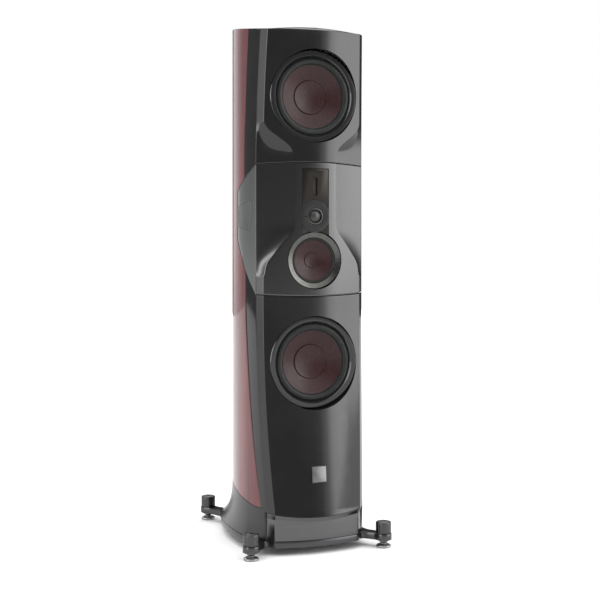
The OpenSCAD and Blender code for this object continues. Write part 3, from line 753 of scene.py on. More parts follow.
def ended(rings, lo=1.2, hi=1.2):
    """Adds rounded end rings."""
    s = 1 if loop_area(rings[0]) > 0 else -1
    out = []
    if lo:
        r0 = rings[0]
        out.append(ring_scale_in([(x, y, z) for x, y, z in r0], s * lo))
        out.append([(x, y, z + lo * 0.3) for x, y, z in ring_scale_in(r0, s * lo * 0.3)])
        rings = [[(x, y, z + lo) for x, y, z in r0]] + rings[1:]
    out += rings
    if hi:
        r1 = out.pop()
        out.append([(x, y, z - hi) for x, y, z in r1])
        out.append([(x, y, z - hi * 0.3) for x, y, z in ring_scale_in(r1, s * hi * 0.3)])
        out.append(ring_scale_in(r1, s * hi))
    return out


WLO_PLACE = to_driver(0, YW, WLO)
WHI_PLACE = to_driver(0, YW, WHI)
MID_PLACE = to_driver(0, YMID, MZ)

rings = ended([baffle_ring(zl, z, 34) for z in zrange(116.0, SLO, 9, (797,))], 1.4, 1.0)
lower = skin("lower_baffle_skin", rings, "black_lacquer", 28)
cut(lower, [lathe("c", [(0, -200), (145.8, -200), (145.8, 8.2), (129, 8.2), (129, 160), (0, 160)], WLO_PLACE, "dark", 160, closed=False)], 28)
put(lower, "cabinet", "black_lacquer", "lower_baffle")

# upper baffle with its crowned roof edge
def upper_ring(z):
    return baffle_ring(zu, z, 34)


zs = zrange(SHI, TOPF, 9, (1209,))
rings = [upper_ring(z) for z in zs]
rings = ended(rings, 1.0, 0)


def crown_ring(d, up):
    """Ring just above the front edge: moved in by d, height on the crowned roof less 'up'."""
    base = upper_ring(TOPF)
    s = 1 if loop_area(base) > 0 else -1
    out = []
    for (x, y, z) in ring_scale_in(base, s * d):
        out.append((x, y, roof_c(x, y) - up))
    return out


rings[-1] = [(x, y, TOPF - 1.2) for x, y, z in upper_ring(TOPF)]
rings.append([(x, y, TOPF - 0.4 + 0.0 * up) for (x, y, z), up in zip(ring_scale_in(upper_ring(TOPF), (1 if loop_area(rings[3]) > 0 else -1) * 0.35), [0] * 400)])
for d in (1.1, 2.4, 4.5, 8.0, 12.0):
    rings.append(crown_ring(d, 0.0))
upper = skin("upper_baffle_skin", rings, "black_lacquer", 28)
cut(upper, [lathe("c", [(0, -200), (145.8, -200), (145.8, 8.2), (129, 8.2), (129, 160), (0, 160)], WHI_PLACE, "dark", 160, closed=False)], 28)
put(upper, "cabinet", "black_lacquer", "upper_baffle")


# top panel: crowned cap from behind the front edge to the back
def top_cap():
    ny, nx = 40, 33
    verts = []
    ys = [lerp(0, 1, j / (ny - 1)) for j in range(ny)]
    for j, t in enumerate(ys):
        for i in range(nx):
            u = -1 + 2 * i / (nx - 1)
            # front row follows the baffle arc 12.6 mm behind the front edge
            xf = u * (wall_x(corner_y(TOPF) + 9) - 6)
            yf = arc_y(TOPF, clampf(xf, -edge_x(TOPF), edge_x(TOPF))) + 12.6
            if abs(xf) > edge_x(TOPF) - 8:
                yf = corner_y(TOPF) + 9.0
            y = lerp(yf, BY - 0.8, t)
            half = wall_x(y, 0.9) if y > corner_y(TOPF) + 9 else wall_x(corner_y(TOPF) + 9, 6)
            x = u * half if y > corner_y(TOPF) + 9 else xf
            verts.append((x, y, roof_c(x, y) - 0.0))
    n = len(verts)
    low = [(x, y, z - 24) for (x, y, z) in verts]
    verts += low
    faces = grid_faces(nx, ny)
    faces += [tuple(n + i for i in f[::-1]) for f in grid_faces(nx, ny)]
    loop = [i for i in range(nx)] + [j * nx + nx - 1 for j in range(1, ny)] + [(ny - 1) * nx + i for i in range(nx - 2, -1, -1)] + [j * nx for j in range(ny - 2, 0, -1)]
    for a, b in zip(loop, loop[1:] + loop[:1]):
        faces.append((a, b, n + b, n + a))
    ob = make("top_panel_cap", verts, faces, "black_lacquer", 40)
    return ob


top = top_cap()
put(top, "cabinet", "black_lacquer", "top_panel")


# side panels: veneered shell between the front band and the back
def side_z(y):
    """Lower edge of the veneer: it runs into the skirt."""
    return 148.0 if y < -126 else 148.0 + 0.2 * (y + 126)


def side_front(z):
    w = wing_back(z) + 1.0 if SLO < z < SHI else -1e9
    return max(panel_y(z) + 0.8, w)


def side_panel(sign, name):
    zs = zrange(120.0, 1640.0, 9, (800, 803, 840, 878.3, 926.3, 972, 974.2, 1126, 1128, 1204, 1207))
    nu = 42
    rows = []
    for z in zs:
        f = side_front(z)
        row = []
        for i in range(nu):
            t = i / (nu - 1)
            t = t ** 1.15
            y = lerp(f, BY - 1.0, t)
            row.append((sign * wall_x(y, -0.0), y, z))
        rows.append(row)
    # top follows the roof: stretch the last rows
    out, inn = [], []
    nz = len(rows)
    for j, row in enumerate(rows):
        for (x, y, z) in row:
            s = clampf((z - 1300.0) / 340.0, 0, 1)
            top_z = roof(y) - 1.0
            zz = z + s * (top_z - 1640.0)
            bot = side_z(y) - 6
            s2 = clampf((300.0 - z) / 180.0, 0, 1)
            zz = zz + s2 * (bot - 120.0)
            out.append((x, y, zz))
            inn.append((x - sign * 19.0, y, zz))
    n = len(out)
    verts = out + inn
    faces = grid_faces(nu, nz) + [tuple(n + i for i in f[::-1]) for f in grid_faces(nu, nz)]
    loop = [i for i in range(nu)] + [j * nu + nu - 1 for j in range(1, nz)] + [(nz - 1) * nu + i for i in range(nu - 2, -1, -1)] + [j * nu for j in range(nz - 2, 0, -1)]
    for a, b in zip(loop, loop[1:] + loop[:1]):
        faces.append((a, b, n + b, n + a))
    ob = make(name, verts, faces, "veneer", 40)
    md = ob.modifiers.new("b", "BEVEL")
    md.width = 0.0012; md.segments = 2; md.limit_method = "ANGLE"; md.angle_limit = math.radians(50)
    bake(ob, 40)
    return ob


for sgn, nm in ((-1, "left"), (1, "right")):
    put(side_panel(sgn, "side_veneer_" + nm), "cabinet", "lacquered_veneer", "side_panel_" + nm)


# middle module: front, ridges, facets, wings in one satin skin
def mid_z(x, y, z):
    t = (z - SLO) / (SHI - SLO)
    lo = SLO + 0.8 - bowz(x, 6.0)
    hi = SHI - 0.8 + bowz(x, 6.8)
    return lo + (hi - lo) * t


def mid_ring(z):
    half = [(x, y, mid_z(x, y, z)) for (x, y) in front_half(z) + corner_round(z, None)]
    wb = max(wing_back(z), corner_y(z) + 2.2)
    back = []
    y0 = corner_y(z) + 1.6
    for s in (0.2, 0.4, 0.6, 0.8, 0.97):
        y = lerp(y0, wb, s)
        back.append((wall_x(y), y, mid_z(wall_x(y), y, z)))
    back.append((wall_x(wb, 1.0), wb, mid_z(wall_x(wb), wb, z)))
    back.append((wall_x(wb, 9.0), wb, mid_z(wall_x(wb), wb, z)))
    yin = YMID + 60
    for s in (0.94, 0.75, 0.5, 0.25, 0.0):
        x = (wall_x(wb) - 12) * s
        yy = max(yin, arc_y(z, 0) + 30) if s < 0.9 else max(yin, wb - 4) if wb > yin else wb + 1
        back.append((x, yy, mid_z(x, yy, z)))
    return mirror_ring(half, back)


zs = zrange(SLO, SHI, 5, (806, 843, 856, 997, 1004, 1289, 974.2, 1126, 1128, 972))
rings = ended([mid_ring(z) for z in zs], 0.8, 0.8)
mid = skin("mid_module_skin", rings, "cast", 26)
mid.data.materials.append(M["cast_side"])

tw_cut = skin("tw", [[(-44.6, y, 900), (44.6, y, 900), (44.6, y, 1194.2), (-44.6, y, 1194.2)] for y in (-330, YTW + 9)], "dark")
mid_cut = lathe("c", [(0, -60), (90.4, -60), (90.4, 17), (78, 17), (78, 120), (0, 120)], MID_PLACE, "dark", 160, closed=False)
cut(mid, [mid_cut, tw_cut], 26)


# wing covers: thin trapezoid plates in shallow pockets on the module's sides
COVER = [(-9.7, 1073.6), (-109.5, 1094.0), (-106.6, 1000.5), (-9.7, 1014.5)]


def wall_quad(sign, name, rows, rad, mat):
    """Plate that follows the bowed wall; rows: (growth of the outline in mm, height over the wall)."""
    c = np.mean(COVER, axis=0)
    out = []
    for grow, h in rows:
        pts2 = rounded(COVER, rad, 3)
        ring = []
        for i in range(len(pts2)):
            a = np.array(pts2[i]); b = np.array(pts2[(i + 1) % len(pts2)])
            m = max(1, int(np.linalg.norm(b - a) / 6))
            for k in range(m):
                q = lerp(a, b, k / m)
                if grow < -20:
                    q = c + (q - c) * 0.02
                else:
                    q = c + (q - c) * (1 + grow / 50.0)
                ring.append((sign * (wall_x(q[0]) + h), q[0], q[1]))
        out.append(ring)
    return skin(name, out, mat, 30)


for sgn, nm in ((-1, "left"), (1, "right")):
    cut(mid, [wall_quad(sgn, "pocket", [(1.5, -1.5), (1.5, 3.0)], 3.2, "dark")], 26)
for f in mid.data.polygons:
    fy = f.center[1] * 1000 - YO
    if fy > YC0 + 1.0 and abs(f.center[0]) * 1000 > wall_x(fy) - 2.5:
        f.material_index = 1
put(mid, "cabinet", "cast_satin_black", "mid_module", "mid_module_wings")
for sgn, nm in ((-1, "left"), (1, "right")):
    put(wall_quad(sgn, "wing_cover_" + nm, [(0, -1.4), (0, 0.6), (-0.4, 1.0), (-25, 1.0)], 2.5, "cast_side"),
        "cabinet", "cast_satin_black", "wing_covers")




# ---------------------------------------------------------------- drivers
def woofer(tag, place, zc):
    ring = rounded([(144.9, 7.9), (144.9, 3.0), (142.0, 0.0), (128.4, 0.0), (123.6, 6.2), (122.9, 7.9), (128.0, 7.9)],
                   [0.2, 1.2, 1.3, 0.9, 0.5, 0.2, 0.2], 5)
    r = lathe(tag + "_ring_visual", ring, place, "ring_gloss", 192, 30)
    put(r, "cabinet", "ring_gloss", tag + "_woofer_ring")
    # surround: half roll with a bead at each side, and its flange under the ring
    sur = [(128.0, 8.2), (123.4, 8.1), (122.9, 6.9), (122.2, 6.7), (121.5, 7.4)]
    for a in np.linspace(math.pi * 0.03, math.pi * 0.97, 21):
        sur.append((111.4 + 9.7 * math.cos(a), 8.9 - 6.3 * math.sin(a)))
    sur += [(101.2, 8.3), (100.3, 7.7), (99.3, 8.0), (98.9, 9.2), (99.9, 10.4), (101.8, 10.1)]
    for a in np.linspace(math.pi * 0.95, math.pi * 0.05, 17):
        sur.append((111.4 + 8.2 * math.cos(a), 10.2 - 5.6 * math.sin(a)))
    sur += [(121.4, 9.6), (124.0, 9.2), (128.2, 9.0)]
    s_ = lathe(tag + "_surround_part", sur, place, "rubber", 160, 50)
    # inner suspension behind the cone, as pleated cloth
    sp = []
    for k in range(0, 41):
        rr = 38.2 + (84 - 38.2) * k / 40
        sp.append((rr, 66.2 + 1.9 * math.sin(k * math.pi / 2.5)))
    for k in range(40, -1, -1):
        rr = 38.2 + (84 - 38.2) * k / 40
        sp.append((rr, 67.0 + 1.9 * math.sin(k * math.pi / 2.5)))
    sp_ = lathe(tag + "_spider_part", sp, place, "board", 96, 50)
    flex(join(tag + "_surround", [s_, sp_], 50), tag + "_woofer_suspension",
         (0, YW, zc), 121.0, 101.0, (40, 84.0, 38.4))
    # cone with a gently curved flare
    cone = []
    for k in range(0, 25):
        t = k / 24
        cone.append((lerp(99.4, 38.2, t), 8.9 + (40.2 - 8.9) * (t + 0.10 * t * (1 - t))))
    for k in range(24, -1, -1):
        t = k / 24
        cone.append((lerp(100.4, 38.2, t), 10.4 + (41.8 - 10.4) * (t + 0.10 * t * (1 - t))))
    c = lathe(tag + "_cone_visual", cone, place, "fibre", 160, 50)
    put(c, tag + "_woofer_moving", "fibre_cone", tag + "_woofer_cone")
    # dished dust cap with a rolled edge
    cap = []
    R = (51.0 ** 2 + 7.6 ** 2) / (2 * 7.6)
    for k in range(0, 17):
        rr = 50.6 * k / 16
        cap.append((rr, 38.6 - (R - math.sqrt(R * R - rr * rr))))
    cap += [(51.4, 30.5), (52.2, 30.3), (52.9, 30.9), (52.8, 32.2), (51.6, 33.2)]
    for k in range(15, -1, -1):
        rr = 50.6 * k / 16
        cap.append((rr, 39.9 - (R - math.sqrt(R * R - rr * rr))))
    d = lathe(tag + "_dust_cap_visual", cap, place, "fibre", 128, 50, closed=False)
    put(d, tag + "_woofer_moving", "fibre_cone", tag + "_woofer_dust_cap")


woofer("upper", WHI_PLACE, WHI)
woofer("lower", WLO_PLACE, WLO)

# midrange: conical satin ring, soft surround, cone and small cap
mr = rounded([(87.4, 0.0), (89.0, 1.6), (89.0, 16.0), (71.9, 16.0), (71.9, 6.7), (85.9, 0.5)], [0.7, 0.7, 0.4, 0.3, 0.5, 0.8], 4)
put(lathe("midrange_ring_visual", mr, MID_PLACE, "ring_satin", 192, 30), "cabinet", "ring_satin", "midrange_ring")
ms = [(71.7, 10.6), (71.6, 9.2)]
for a in np.linspace(0.15, math.pi - 0.15, 15):
    ms.append((68.0 + 3.2 * math.cos(a), 9.6 - 2.6 * math.sin(a)))
ms += [(64.4, 9.6), (63.7, 9.3), (63.3, 10.0), (63.8, 11.0), (64.8, 11.2)]
for a in np.linspace(math.pi - 0.15, 0.15, 13):
    ms.append((68.0 + 2.4 * math.cos(a), 10.7 - 2.2 * math.sin(a)))
msur = lathe("midrange_surround_part", ms, MID_PLACE, "rubber", 128, 50)
sp = []
for k in range(0, 25):
    sp.append((lerp(18.5, 50, k / 24), 47.6 + 1.1 * math.sin(k * math.pi / 2)))
for k in range(24, -1, -1):
    sp.append((lerp(18.5, 50, k / 24), 48.3 + 1.1 * math.sin(k * math.pi / 2)))
mspi = lathe("midrange_spider_part", sp, MID_PLACE, "board", 96, 50)
flex(join("midrange_surround", [msur, mspi], 50), "midrange_suspension",
     (0, YMID, MZ), 71.4, 64.4, (30, 50.0, 18.6))
mc = []
for k in range(0, 19):
    t = k / 18
    mc.append((lerp(63.9, 19.2, t), 9.9 + (29.6 - 9.9) * (t + 0.08 * t * (1 - t))))
for k in range(18, -1, -1):
    t = k / 18
    mc.append((lerp(64.8, 19.2, t), 11.2 + (30.9 - 11.2) * (t + 0.08 * t * (1 - t))))
mcone = lathe("midrange_cone_part", mc, MID_PLACE, "fibre", 128, 50)
cp = []
Rm = (22.4 ** 2 + 3.2 ** 2) / (2 * 3.2)
for k in range(0, 11):
    rr = 21.9 * k / 10
    cp.append((rr, 29.4 - (Rm - math.sqrt(Rm * Rm - rr * rr))))
cp += [(22.6, 25.8), (23.3, 25.8), (23.7, 26.5), (23.5, 27.6), (22.4, 28.2), (20.0, 28.6), (10, 30.4), (0, 30.8)]
mcap = lathe("midrange_cap_part", cp, MID_PLACE, "fibre", 96, 50, closed=False)
put(join("midrange_cone_visual", [mcone, mcap], 50), "midrange_moving", "fibre_cone", "midrange_cone")


# tweeter plate: flat satin plate around a disc, with a window for the ribbon and a top slot
def plate_outline(inset=0.0, half=44.0, top=1193.6, rad=3.0):
    """Outline with the bottom cut by the midrange ring's circle."""
    rr = 91.0 + inset
    h = half - inset
    zt = top - inset
    pts = []
    zb = MZ + math.sqrt(rr * rr - h * h)
    n = 26
    a0 = math.atan2(zb - MZ, h)
    a1 = math.pi - a0
    for i in range(n + 1):                     # along the circle from right to left
        a = lerp(a0, a1, i / n)
        pts.append((rr * math.cos(a), MZ + rr * math.sin(a)))
    for (cx, cz, b0) in ((-h + rad, zt - rad, math.pi), (h - rad, zt - rad, math.pi / 2)):
        for i in range(6):
            a = b0 - (math.pi / 2) * i / 5
            pts.append((cx + rad * math.cos(a), cz + rad * math.sin(a)))
    return pts


def extrude_outline(name, rows, mat, angle=30):
    """rows: list of (outline points (x, z), depth y)."""
    return skin(name, [[(x, y, z) for (x, z) in pts] for pts, y in rows], mat, angle)


tp = extrude_outline("tweeter_plate_visual", [(plate_outline(0.0), YTW + 8.6), (plate_outline(0.0), YTW + 0.8),
                                             (plate_outline(0.25), YTW + 0.2), (plate_outline(0.8), YTW)], "plate", 30)


def slot_cutter(hx, hz, cx, cz, y0, y1, n=10):
    """Cutter with rounded ends."""
    pts = []
    r = min(hx, hz)
    for sx, b0 in ((1, -math.pi / 2), (-1, math.pi / 2)):
        for i in range(n + 1):
            a = b0 + math.pi * i / n
            if hx >= hz:
                pts.append((cx + sx * (hx - r) + r * math.cos(a), cz + r * math.sin(a)))
    if hx < hz:
        pts = []
        for sz, b0 in ((1, 0), (-1, math.pi)):
            for i in range(n + 1):
                a = b0 + math.pi * i / n
                pts.append((cx + r * math.cos(a), cz + sz * (hz - r) + r * math.sin(a)))
    return skin("slot", [[(x, y, z) for x, z in pts] for y in (y0, y1)], "dark")


cut(tp, [lathe("c", [(0, -20), (51.0, -20), (51.0, 30), (0, 30)], to_driver(0, YTW, DZ), "dark", 128, closed=False),
         slot_cutter(6.6, 29.0, 0, RBZ, YTW - 20, YTW + 20), slot_cutter(20, 1.1, 0, 1183.3, YTW - 20, YTW + 4)], 30)
put(tp, "cabinet", "cast_satin_black", "tweeter_plate")

DOME_PLACE = to_driver(0, YTW, DZ)
dp = lathe("dome_plate_part", rounded([(49.3, -1.2), (50.5, 0.0), (50.5, 7.8), (25.5, 7.8), (25.5, -0.2), (27.0, -1.2)], [0.8, 0.5, 0.2, 0.2, 0.6, 0.6], 4),
           DOME_PLACE, "disc", 160, 30)
cut(dp, [slot_cutter(9.2, 1.15, 36.2, DZ, YTW - 20, YTW + 3.4), slot_cutter(9.2, 1.15, -36.2, DZ, YTW - 20, YTW + 3.4)], 30)
bz = lathe("dome_bezel_part", rounded([(25.2, -1.6), (25.3, 5.8), (20.6, 5.8), (20.2, 3.4), (21.6, -0.6), (23.6, -2.2)], [0.5, 0.3, 0.3, 0.5, 0.8, 0.9], 4),
           DOME_PLACE, "bezel", 128, 40)
put(join("dome_plate_visual", [dp, bz], 35), "cabinet", "cast_satin_black", "dome_plate")
dm = []
Rd = (17.5 ** 2 + 6.0 ** 2) / 12.0
for k in range(0, 15):
    rr = 17.3 * k / 14
    dm.append((rr, -2.6 + (Rd - math.sqrt(Rd * Rd - rr * rr))))
dm += [(17.9, 3.9), (18.8, 3.1), (19.6, 3.6), (20.0, 4.6), (19.2, 5.0), (18.2, 4.8), (17.0, 4.6), (9.0, 0.2), (0, -1.6)]
put(lathe("dome_visual", dm, DOME_PLACE, "dome", 96, 60, closed=False), "dome_moving", "dome_cloth", "dome")


# ribbon: pleated film behind the window, with a rounded frame
def ribbon_strip():
    n = 76
    z0, z1 = RBZ - 27.4, RBZ + 27.4
    rows_f, rows_b = [], []
    for i in range(n):
        z = lerp(z0, z1, i / (n - 1))
        d = 0.28 * (1 if i % 2 else -1)
        rows_f.append((z, YTW + 5.3 + d)); rows_b.append((z, YTW + 5.5 + d))
    verts, faces = [], []
    for (z, y) in rows_f:
        verts += [(-5, y, z), (5, y, z)]
    for (z, y) in rows_b:
        verts += [(-5, y, z), (5, y, z)]
    m = 2 * n
    for i in range(n - 1):
        a, b, c, d = 2 * i, 2 * i + 1, 2 * i + 3, 2 * i + 2
        faces += [(a, b, c, d), (m + d, m + c, m + b, m + a), (a, d, m + d, m + a), (b, m + b, m + c, c)]
    faces += [(0, m, m + 1, 1), (2 * n - 2, 2 * n - 1, m + 2 * n - 1, m + 2 * n - 2)]
    return make("ribbon_visual", verts, faces, "film", 15)


put(ribbon_strip(), "ribbon_moving", "ribbon_film", "ribbon")


# ---------------------------------------------------------------- plinth and skirt
def base_front(x):
    return -201 - math.sqrt(FR * FR - x * x) + math.sqrt(FR * FR - 139.6 ** 2)


PC = [(139.6, -201.0), (157.5, -178.0)]


def plinth_half(k=1.0, r=3.0, r2=1.6):
    """Half outline of the plinth front from centre to side on +x: (x, y)."""
    e = np.array(PC[0]) ; c = np.array(PC[1])
    pts = [((e[0] - r) * i / 14, base_front((e[0] - r) * i / 14)) for i in range(15)]
    a = np.array([e[0] - r, base_front(e[0] - r)])
    d = (c - e) / np.linalg.norm(c - e)
    b = e + d * r * 0.8
    for s in (0.25, 0.5, 0.75):
        pts.append(tuple((1 - s) ** 2 * a + 2 * s * (1 - s) * e + s ** 2 * b))
    for s in (0, 0.33, 0.66):
        pts.append(tuple(b + (c - d * r2 - b) * s))
    bb = c + np.array([0.12, 1.0]) * r2
    aa = c - d * r2
    for s in (0.0, 0.33, 0.66, 1.0):
        pts.append(tuple((1 - s) ** 2 * aa + 2 * s * (1 - s) * c + s ** 2 * bb))
    return pts


def body_half_low():
    """Half outline of the cabinet front at its bottom edge."""
    z = 117.0
    return [(x, y) for (x, y) in front_half(z) + corner_round(z, None)]


def resample(pts, n):
    P = np.array(pts, float)
    L = np.concatenate([[0], np.cumsum(np.linalg.norm(np.diff(P, axis=0), axis=1))])
    t = np.linspace(0, L[-1], n)
    return np.stack([np.interp(t, L, P[:, k]) for k in range(P.shape[1])], axis=1)


def plinth_front():
    lowp = plinth_half()
    n = len(lowp)
    # matched body outline: centre arc to chamfer and corner
    z = 117.0
    e = edge_x(z)
    body = []
    scale = (e - 3.0) / (PC[0][0] - 3.0)
    for i, (x, y) in enumerate(lowp):
        if i < 15:
            xx = x * scale
            body.append((xx, arc_y(z, xx)))
    E = np.array([e, edge_y(z)]); C = np.array([wall_x(corner_y(z)), corner_y(z)])
    a = np.array([e - 3.0, arc_y(z, e - 3.0)]); d = (C - E) / np.linalg.norm(C - E); b = E + d * 2.4
    for s in (0.25, 0.5, 0.75):
        body.append(tuple((1 - s) ** 2 * a + 2 * s * (1 - s) * E + s ** 2 * b))
    for s in (0, 0.33, 0.66):
        body.append(tuple(b + (C - d * 1.6 - b) * s))
    aa = C - d * 1.6; bb = C + np.array([0.05, 1.0]) * 1.6
    for s in (0.0, 0.33, 0.66, 1.0):
        body.append(tuple((1 - s) ** 2 * aa + 2 * s * (1 - s) * C + s ** 2 * bb))
    rings = []

    def ring(pts, zfun, inset=0.0):
        half = []
        for (x, y) in pts:
            half.append((x, y, zfun(x)))
        x1, y1 = pts[-1]
        back = [(x1 + 0.4, y1 + 14, zfun(x1)), (x1 - 14, y1 + 16, zfun(x1)), ((x1 - 14) * 0.66, y1 + 4, zfun(x1 * .66)),
                ((x1 - 14) * 0.33, y1 - 4, zfun(x1 * .33)), (0.0, y1 - 8, zfun(0))]
        r = mirror_ring(half, back)
        if inset:
            s = 1 if loop_area(r) > 0 else -1
            r = ring_scale_in(r, s * inset)
        return r

    rise = lambda z0, k: (lambda x: z0 + k * (min(abs(x), 165) / 160.0) ** 2)
    rings.append(ring(lowp, lambda x: 45.6, 1.4))
    rings.append(ring(lowp, lambda x: 46.0, 0.5))
    for zz in (47.2, 60, 75, 90):
        rings.append(ring(lowp, lambda x, zz=zz: zz))
    rings.append(ring(lowp, rise(100.4, 12)))
    rings.append(ring(lowp, rise(101.8, 13), 0.15))
    mix = lambda t: [tuple(np.array(a) * (1 - t) + np.array(b) * t) for a, b in zip(lowp, body)]
    rings.append(ring(mix(0.06), rise(103.1, 14)))
    for t in (0.25, 0.5, 0.75):
        rings.append(ring(mix(t), rise(lerp(103.1, 114.2, t), lerp(14, 16, t))))
    rings.append(ring(mix(0.955), rise(114.3, 16)))
    rings.append(ring(mix(0.955), rise(115.2, 16), 0.8))
    return skin("plinth_front_skin", rings, "grey", 30)


put(plinth_front(), "cabinet", "satin_grey", "plinth_front")


def base_x(y):
    return wall_x(y) + lerp(-5, 10, (y + 178) / 86) if y < -92 else 209.3 - (y - 19.4) ** 2 / 1357


def skirt_top(y):
    return 145.5 if y < -126 else 145.5 + 0.2 * (y + 126)


def skirt(sign):
    """Flared skirt along one side, from the plinth front to the back corner."""
    ny = 64
    nz = 16
    out, inn = [], []
    yb = 292.0
    for j in range(ny):
        t = j / (ny - 1)
        y = lerp(-176.0, yb, t)
        for i in range(nz):
            s = i / (nz - 1)
            zt = skirt_top(min(y, BY)) + (0 if y <= BY else 0)
            z = lerp(46.0, zt, s)
            xb = base_x(y) if y < 262 else base_x(262) - 0.9 * (y - 262)
            ya = min(y, BY + 1.5)
            xt = wall_x(clampf(ya, -185, BY)) + 0.6
            k = (1 - s) ** 2.2
            x = lerp(xt, xb, k)
            yy = y
            if y > BY - 20:
                yy = lerp(BY - 20, lerp(BY + 1.6, yb, k), (y - (BY - 20)) / (yb - BY + 20))
            out.append((sign * x, yy, z))
            inn.append((sign * (x - 7.0), min(yy, yy if j < ny - 1 else yy), z))
    n = len(out)
    verts = out + inn
    faces = grid_faces(nz, ny) + [tuple(n + i for i in f[::-1]) for f in grid_faces(nz, ny)]
    loop = [i for i in range(nz)] + [j * nz + nz - 1 for j in range(1, ny)] + [(ny - 1) * nz + i for i in range(nz - 2, -1, -1)] + [j * nz for j in range(ny - 2, 0, -1)]
    for a, b in zip(loop, loop[1:] + loop[:1]):
        faces.append((a, b, n + b, n + a))
    ob = make("skirt_side_" + ("left" if sign < 0 else "right"), verts, faces, "skirt", 40)
    md = ob.modifiers.new("b", "BEVEL")
    md.width = 0.0010; md.segments = 2; md.limit_method = "ANGLE"; md.angle_limit = math.radians(50)
    return bake(ob, 40)


def skirt_back():
    nx, nz = 41, 16
    out, inn = [], []
    zt = skirt_top(BY)
    xb0 = base_x(262) - 0.9 * (292 - 262)
    for j in range(nx):
        u = -1 + 2 * j / (nx - 1)
        for i in range(nz):
            s = i / (nz - 1)
            k = (1 - s) ** 2.2
            z = lerp(46.0, zt, s)
            x = u * lerp(wall_x(BY) + 0.6, xb0, k)
            y = lerp(BY + 1.6, 292.0, k)
            out.append((x, y, z)); inn.append((x * 0.985, y - 7, z))
    n = len(out)
    verts = out + inn
    faces = grid_faces(nz, nx) + [tuple(n + i for i in f[::-1]) for f in grid_faces(nz, nx)]
    loop = [i for i in range(nz)] + [j * nz + nz - 1 for j in range(1, nx)] + [(nx - 1) * nz + i for i in range(nz - 2, -1, -1)] + [j * nz for j in range(nx - 2, 0, -1)]
    for a, b in zip(loop, loop[1:] + loop[:1]):
        faces.append((a, b, n + b, n + a))
    ob = make("skirt_back_part", verts, faces, "skirt", 40)
    return ob


sk = join("plinth_skirt_visual", [skirt(-1), skirt(1), skirt_back()], 40)
put(sk, "cabinet", "skirt_black", "plinth_skirt")


# back panel: flat board with eased edges, cut for the ports and the terminal plate
def back_panel():
    zs = zrange(skirt_top(BY) - 6, roof(BY) - 1.0, 60)
    w = wall_x(BY) - 0.8
    rows = []
    for (y, dx) in ((BY - 20, 0.0), (BY - 1.4, 0.0), (BY - 0.4, 0.4), (BY, 1.4)):
        rows.append([(-w + dx, y, zs[0] + dx), (w - dx, y, zs[0] + dx), (w - dx, y, zs[-1] - dx), (-w + dx, y, zs[-1] - dx)])
    ob = skin("back_panel_visual", rows, "black_lacquer", 40)
    cs = [lathe("c", [(0, -60), (45.2, -60), (45.2, 60), (0, 60)], lambda p, z=z: (p[0], BY + p[2], z + p[1]), "dark", 96, closed=False) for z in (470.0, 1300.0)]
    cs.append(skin("c", [[(-40, y, 189), (40, y, 189), (40, y, 291), (-40, y, 291)] for y in (BY - 40, BY + 20)], "dark"))
    return cut(ob, cs, 40)


put(back_panel(), "cabinet", "black_lacquer", "back_panel")

# ports with flared mouths
pp = []
port_prof = [(35.0, -170.0)]
for a in np.linspace(0, math.pi / 2, 9):
    port_prof.append((35.0 + 9.0 * (1 - math.cos(a)), -9.0 + 9.0 * math.sin(a)))
port_prof += [(45.0, 0.1), (45.0, -3.0), (41.5, -12.0), (38.2, -20.0), (38.2, -170.0)]
for z in (470.0, 1300.0):
    pp.append(lathe("port", port_prof, lambda p, z=z: (p[0], BY + p[2], z + p[1]), "port", 96, 40))
put(join("port_tubes_visual", pp, 40), "cabinet", "port_plastic", "port_tubes")


# terminals: plate with cross-slotted screws, posts with bored ends, knurled nuts
def rounded_box_y(name, x0, x1, z0, z1, y0, y1, r, mat, edge=0.8, n=6):
    """Plate standing on the back: rounded corners and an eased outer edge."""
    def outline(d):
        pts = []
        for (cx, cz, a0) in ((x1 - r, z1 - r, 0), (x0 + r, z1 - r, 90), (x0 + r, z0 + r, 180), (x1 - r, z0 + r, 270)):
            for i in range(n + 1):
                a = math.radians(a0 + 90 * i / n)
                rr = max(r - d, 0.2)
                pts.append((cx + rr * math.cos(a), cz + rr * math.sin(a)))
        return pts
    return extrude_outline(name, [(outline(0), y0), (outline(0), y1 - edge), (outline(edge * 0.3), y1 - edge * 0.3), (outline(edge), y1)], mat, 30)


TERMS = [(-19, 266), (19, 266), (-19, 310), (19, 310)]
tplate = rounded_box_y("terminal_plate_visual", -40.9, 40.9, 236.1, 339.9, BY + 0.35, BY + 4.25, 6.0, "terminal")
screws = []
for sx in (-33, 33):
    for sz in (244, 332):
        sc = lathe("s", [(0, 4.3), (3.4, 4.3), (3.4, 4.9), (2.9, 5.5), (0, 5.8)], lambda p, x=sx, z=sz: (x + p[0], BY + p[2], z + p[1]), "gloss_black", 40, closed=False)
        cut(sc, [box_mesh("x", (sx - 2.2, BY + 5.0, sz - 0.45), (sx + 2.2, BY + 8, sz + 0.45), "dark"),
                 box_mesh("x", (sx - 0.45, BY + 5.0, sz - 2.2), (sx + 0.45, BY + 8, sz + 2.2), "dark")], 35)
        screws.append(sc)
put(join("terminal_plate_set", [tplate] + screws, 32), "cabinet", "terminal_metal", "terminal_plate")
posts = []
for (x, z) in TERMS:
    pl = lambda p, x=x, z=z: (x + p[0], BY + 4.35 + p[2], z + p[1])
    posts.append(lathe("p", rounded([(2.05, 9.9), (2.05, 29.8), (4.0, 29.8), (4.0, 3.0), (8.0, 3.0), (8.0, 0.0), (0.0, 0.0), (0.0, 9.9)],
                                    [0, 0.2, 0.5, 0.2, 0.6, 0.1, 0, 0], 3), pl, "brass", 64, 35))
put(join("terminal_posts_visual", posts, 35), "cabinet", "terminal_brass", "terminal_posts")


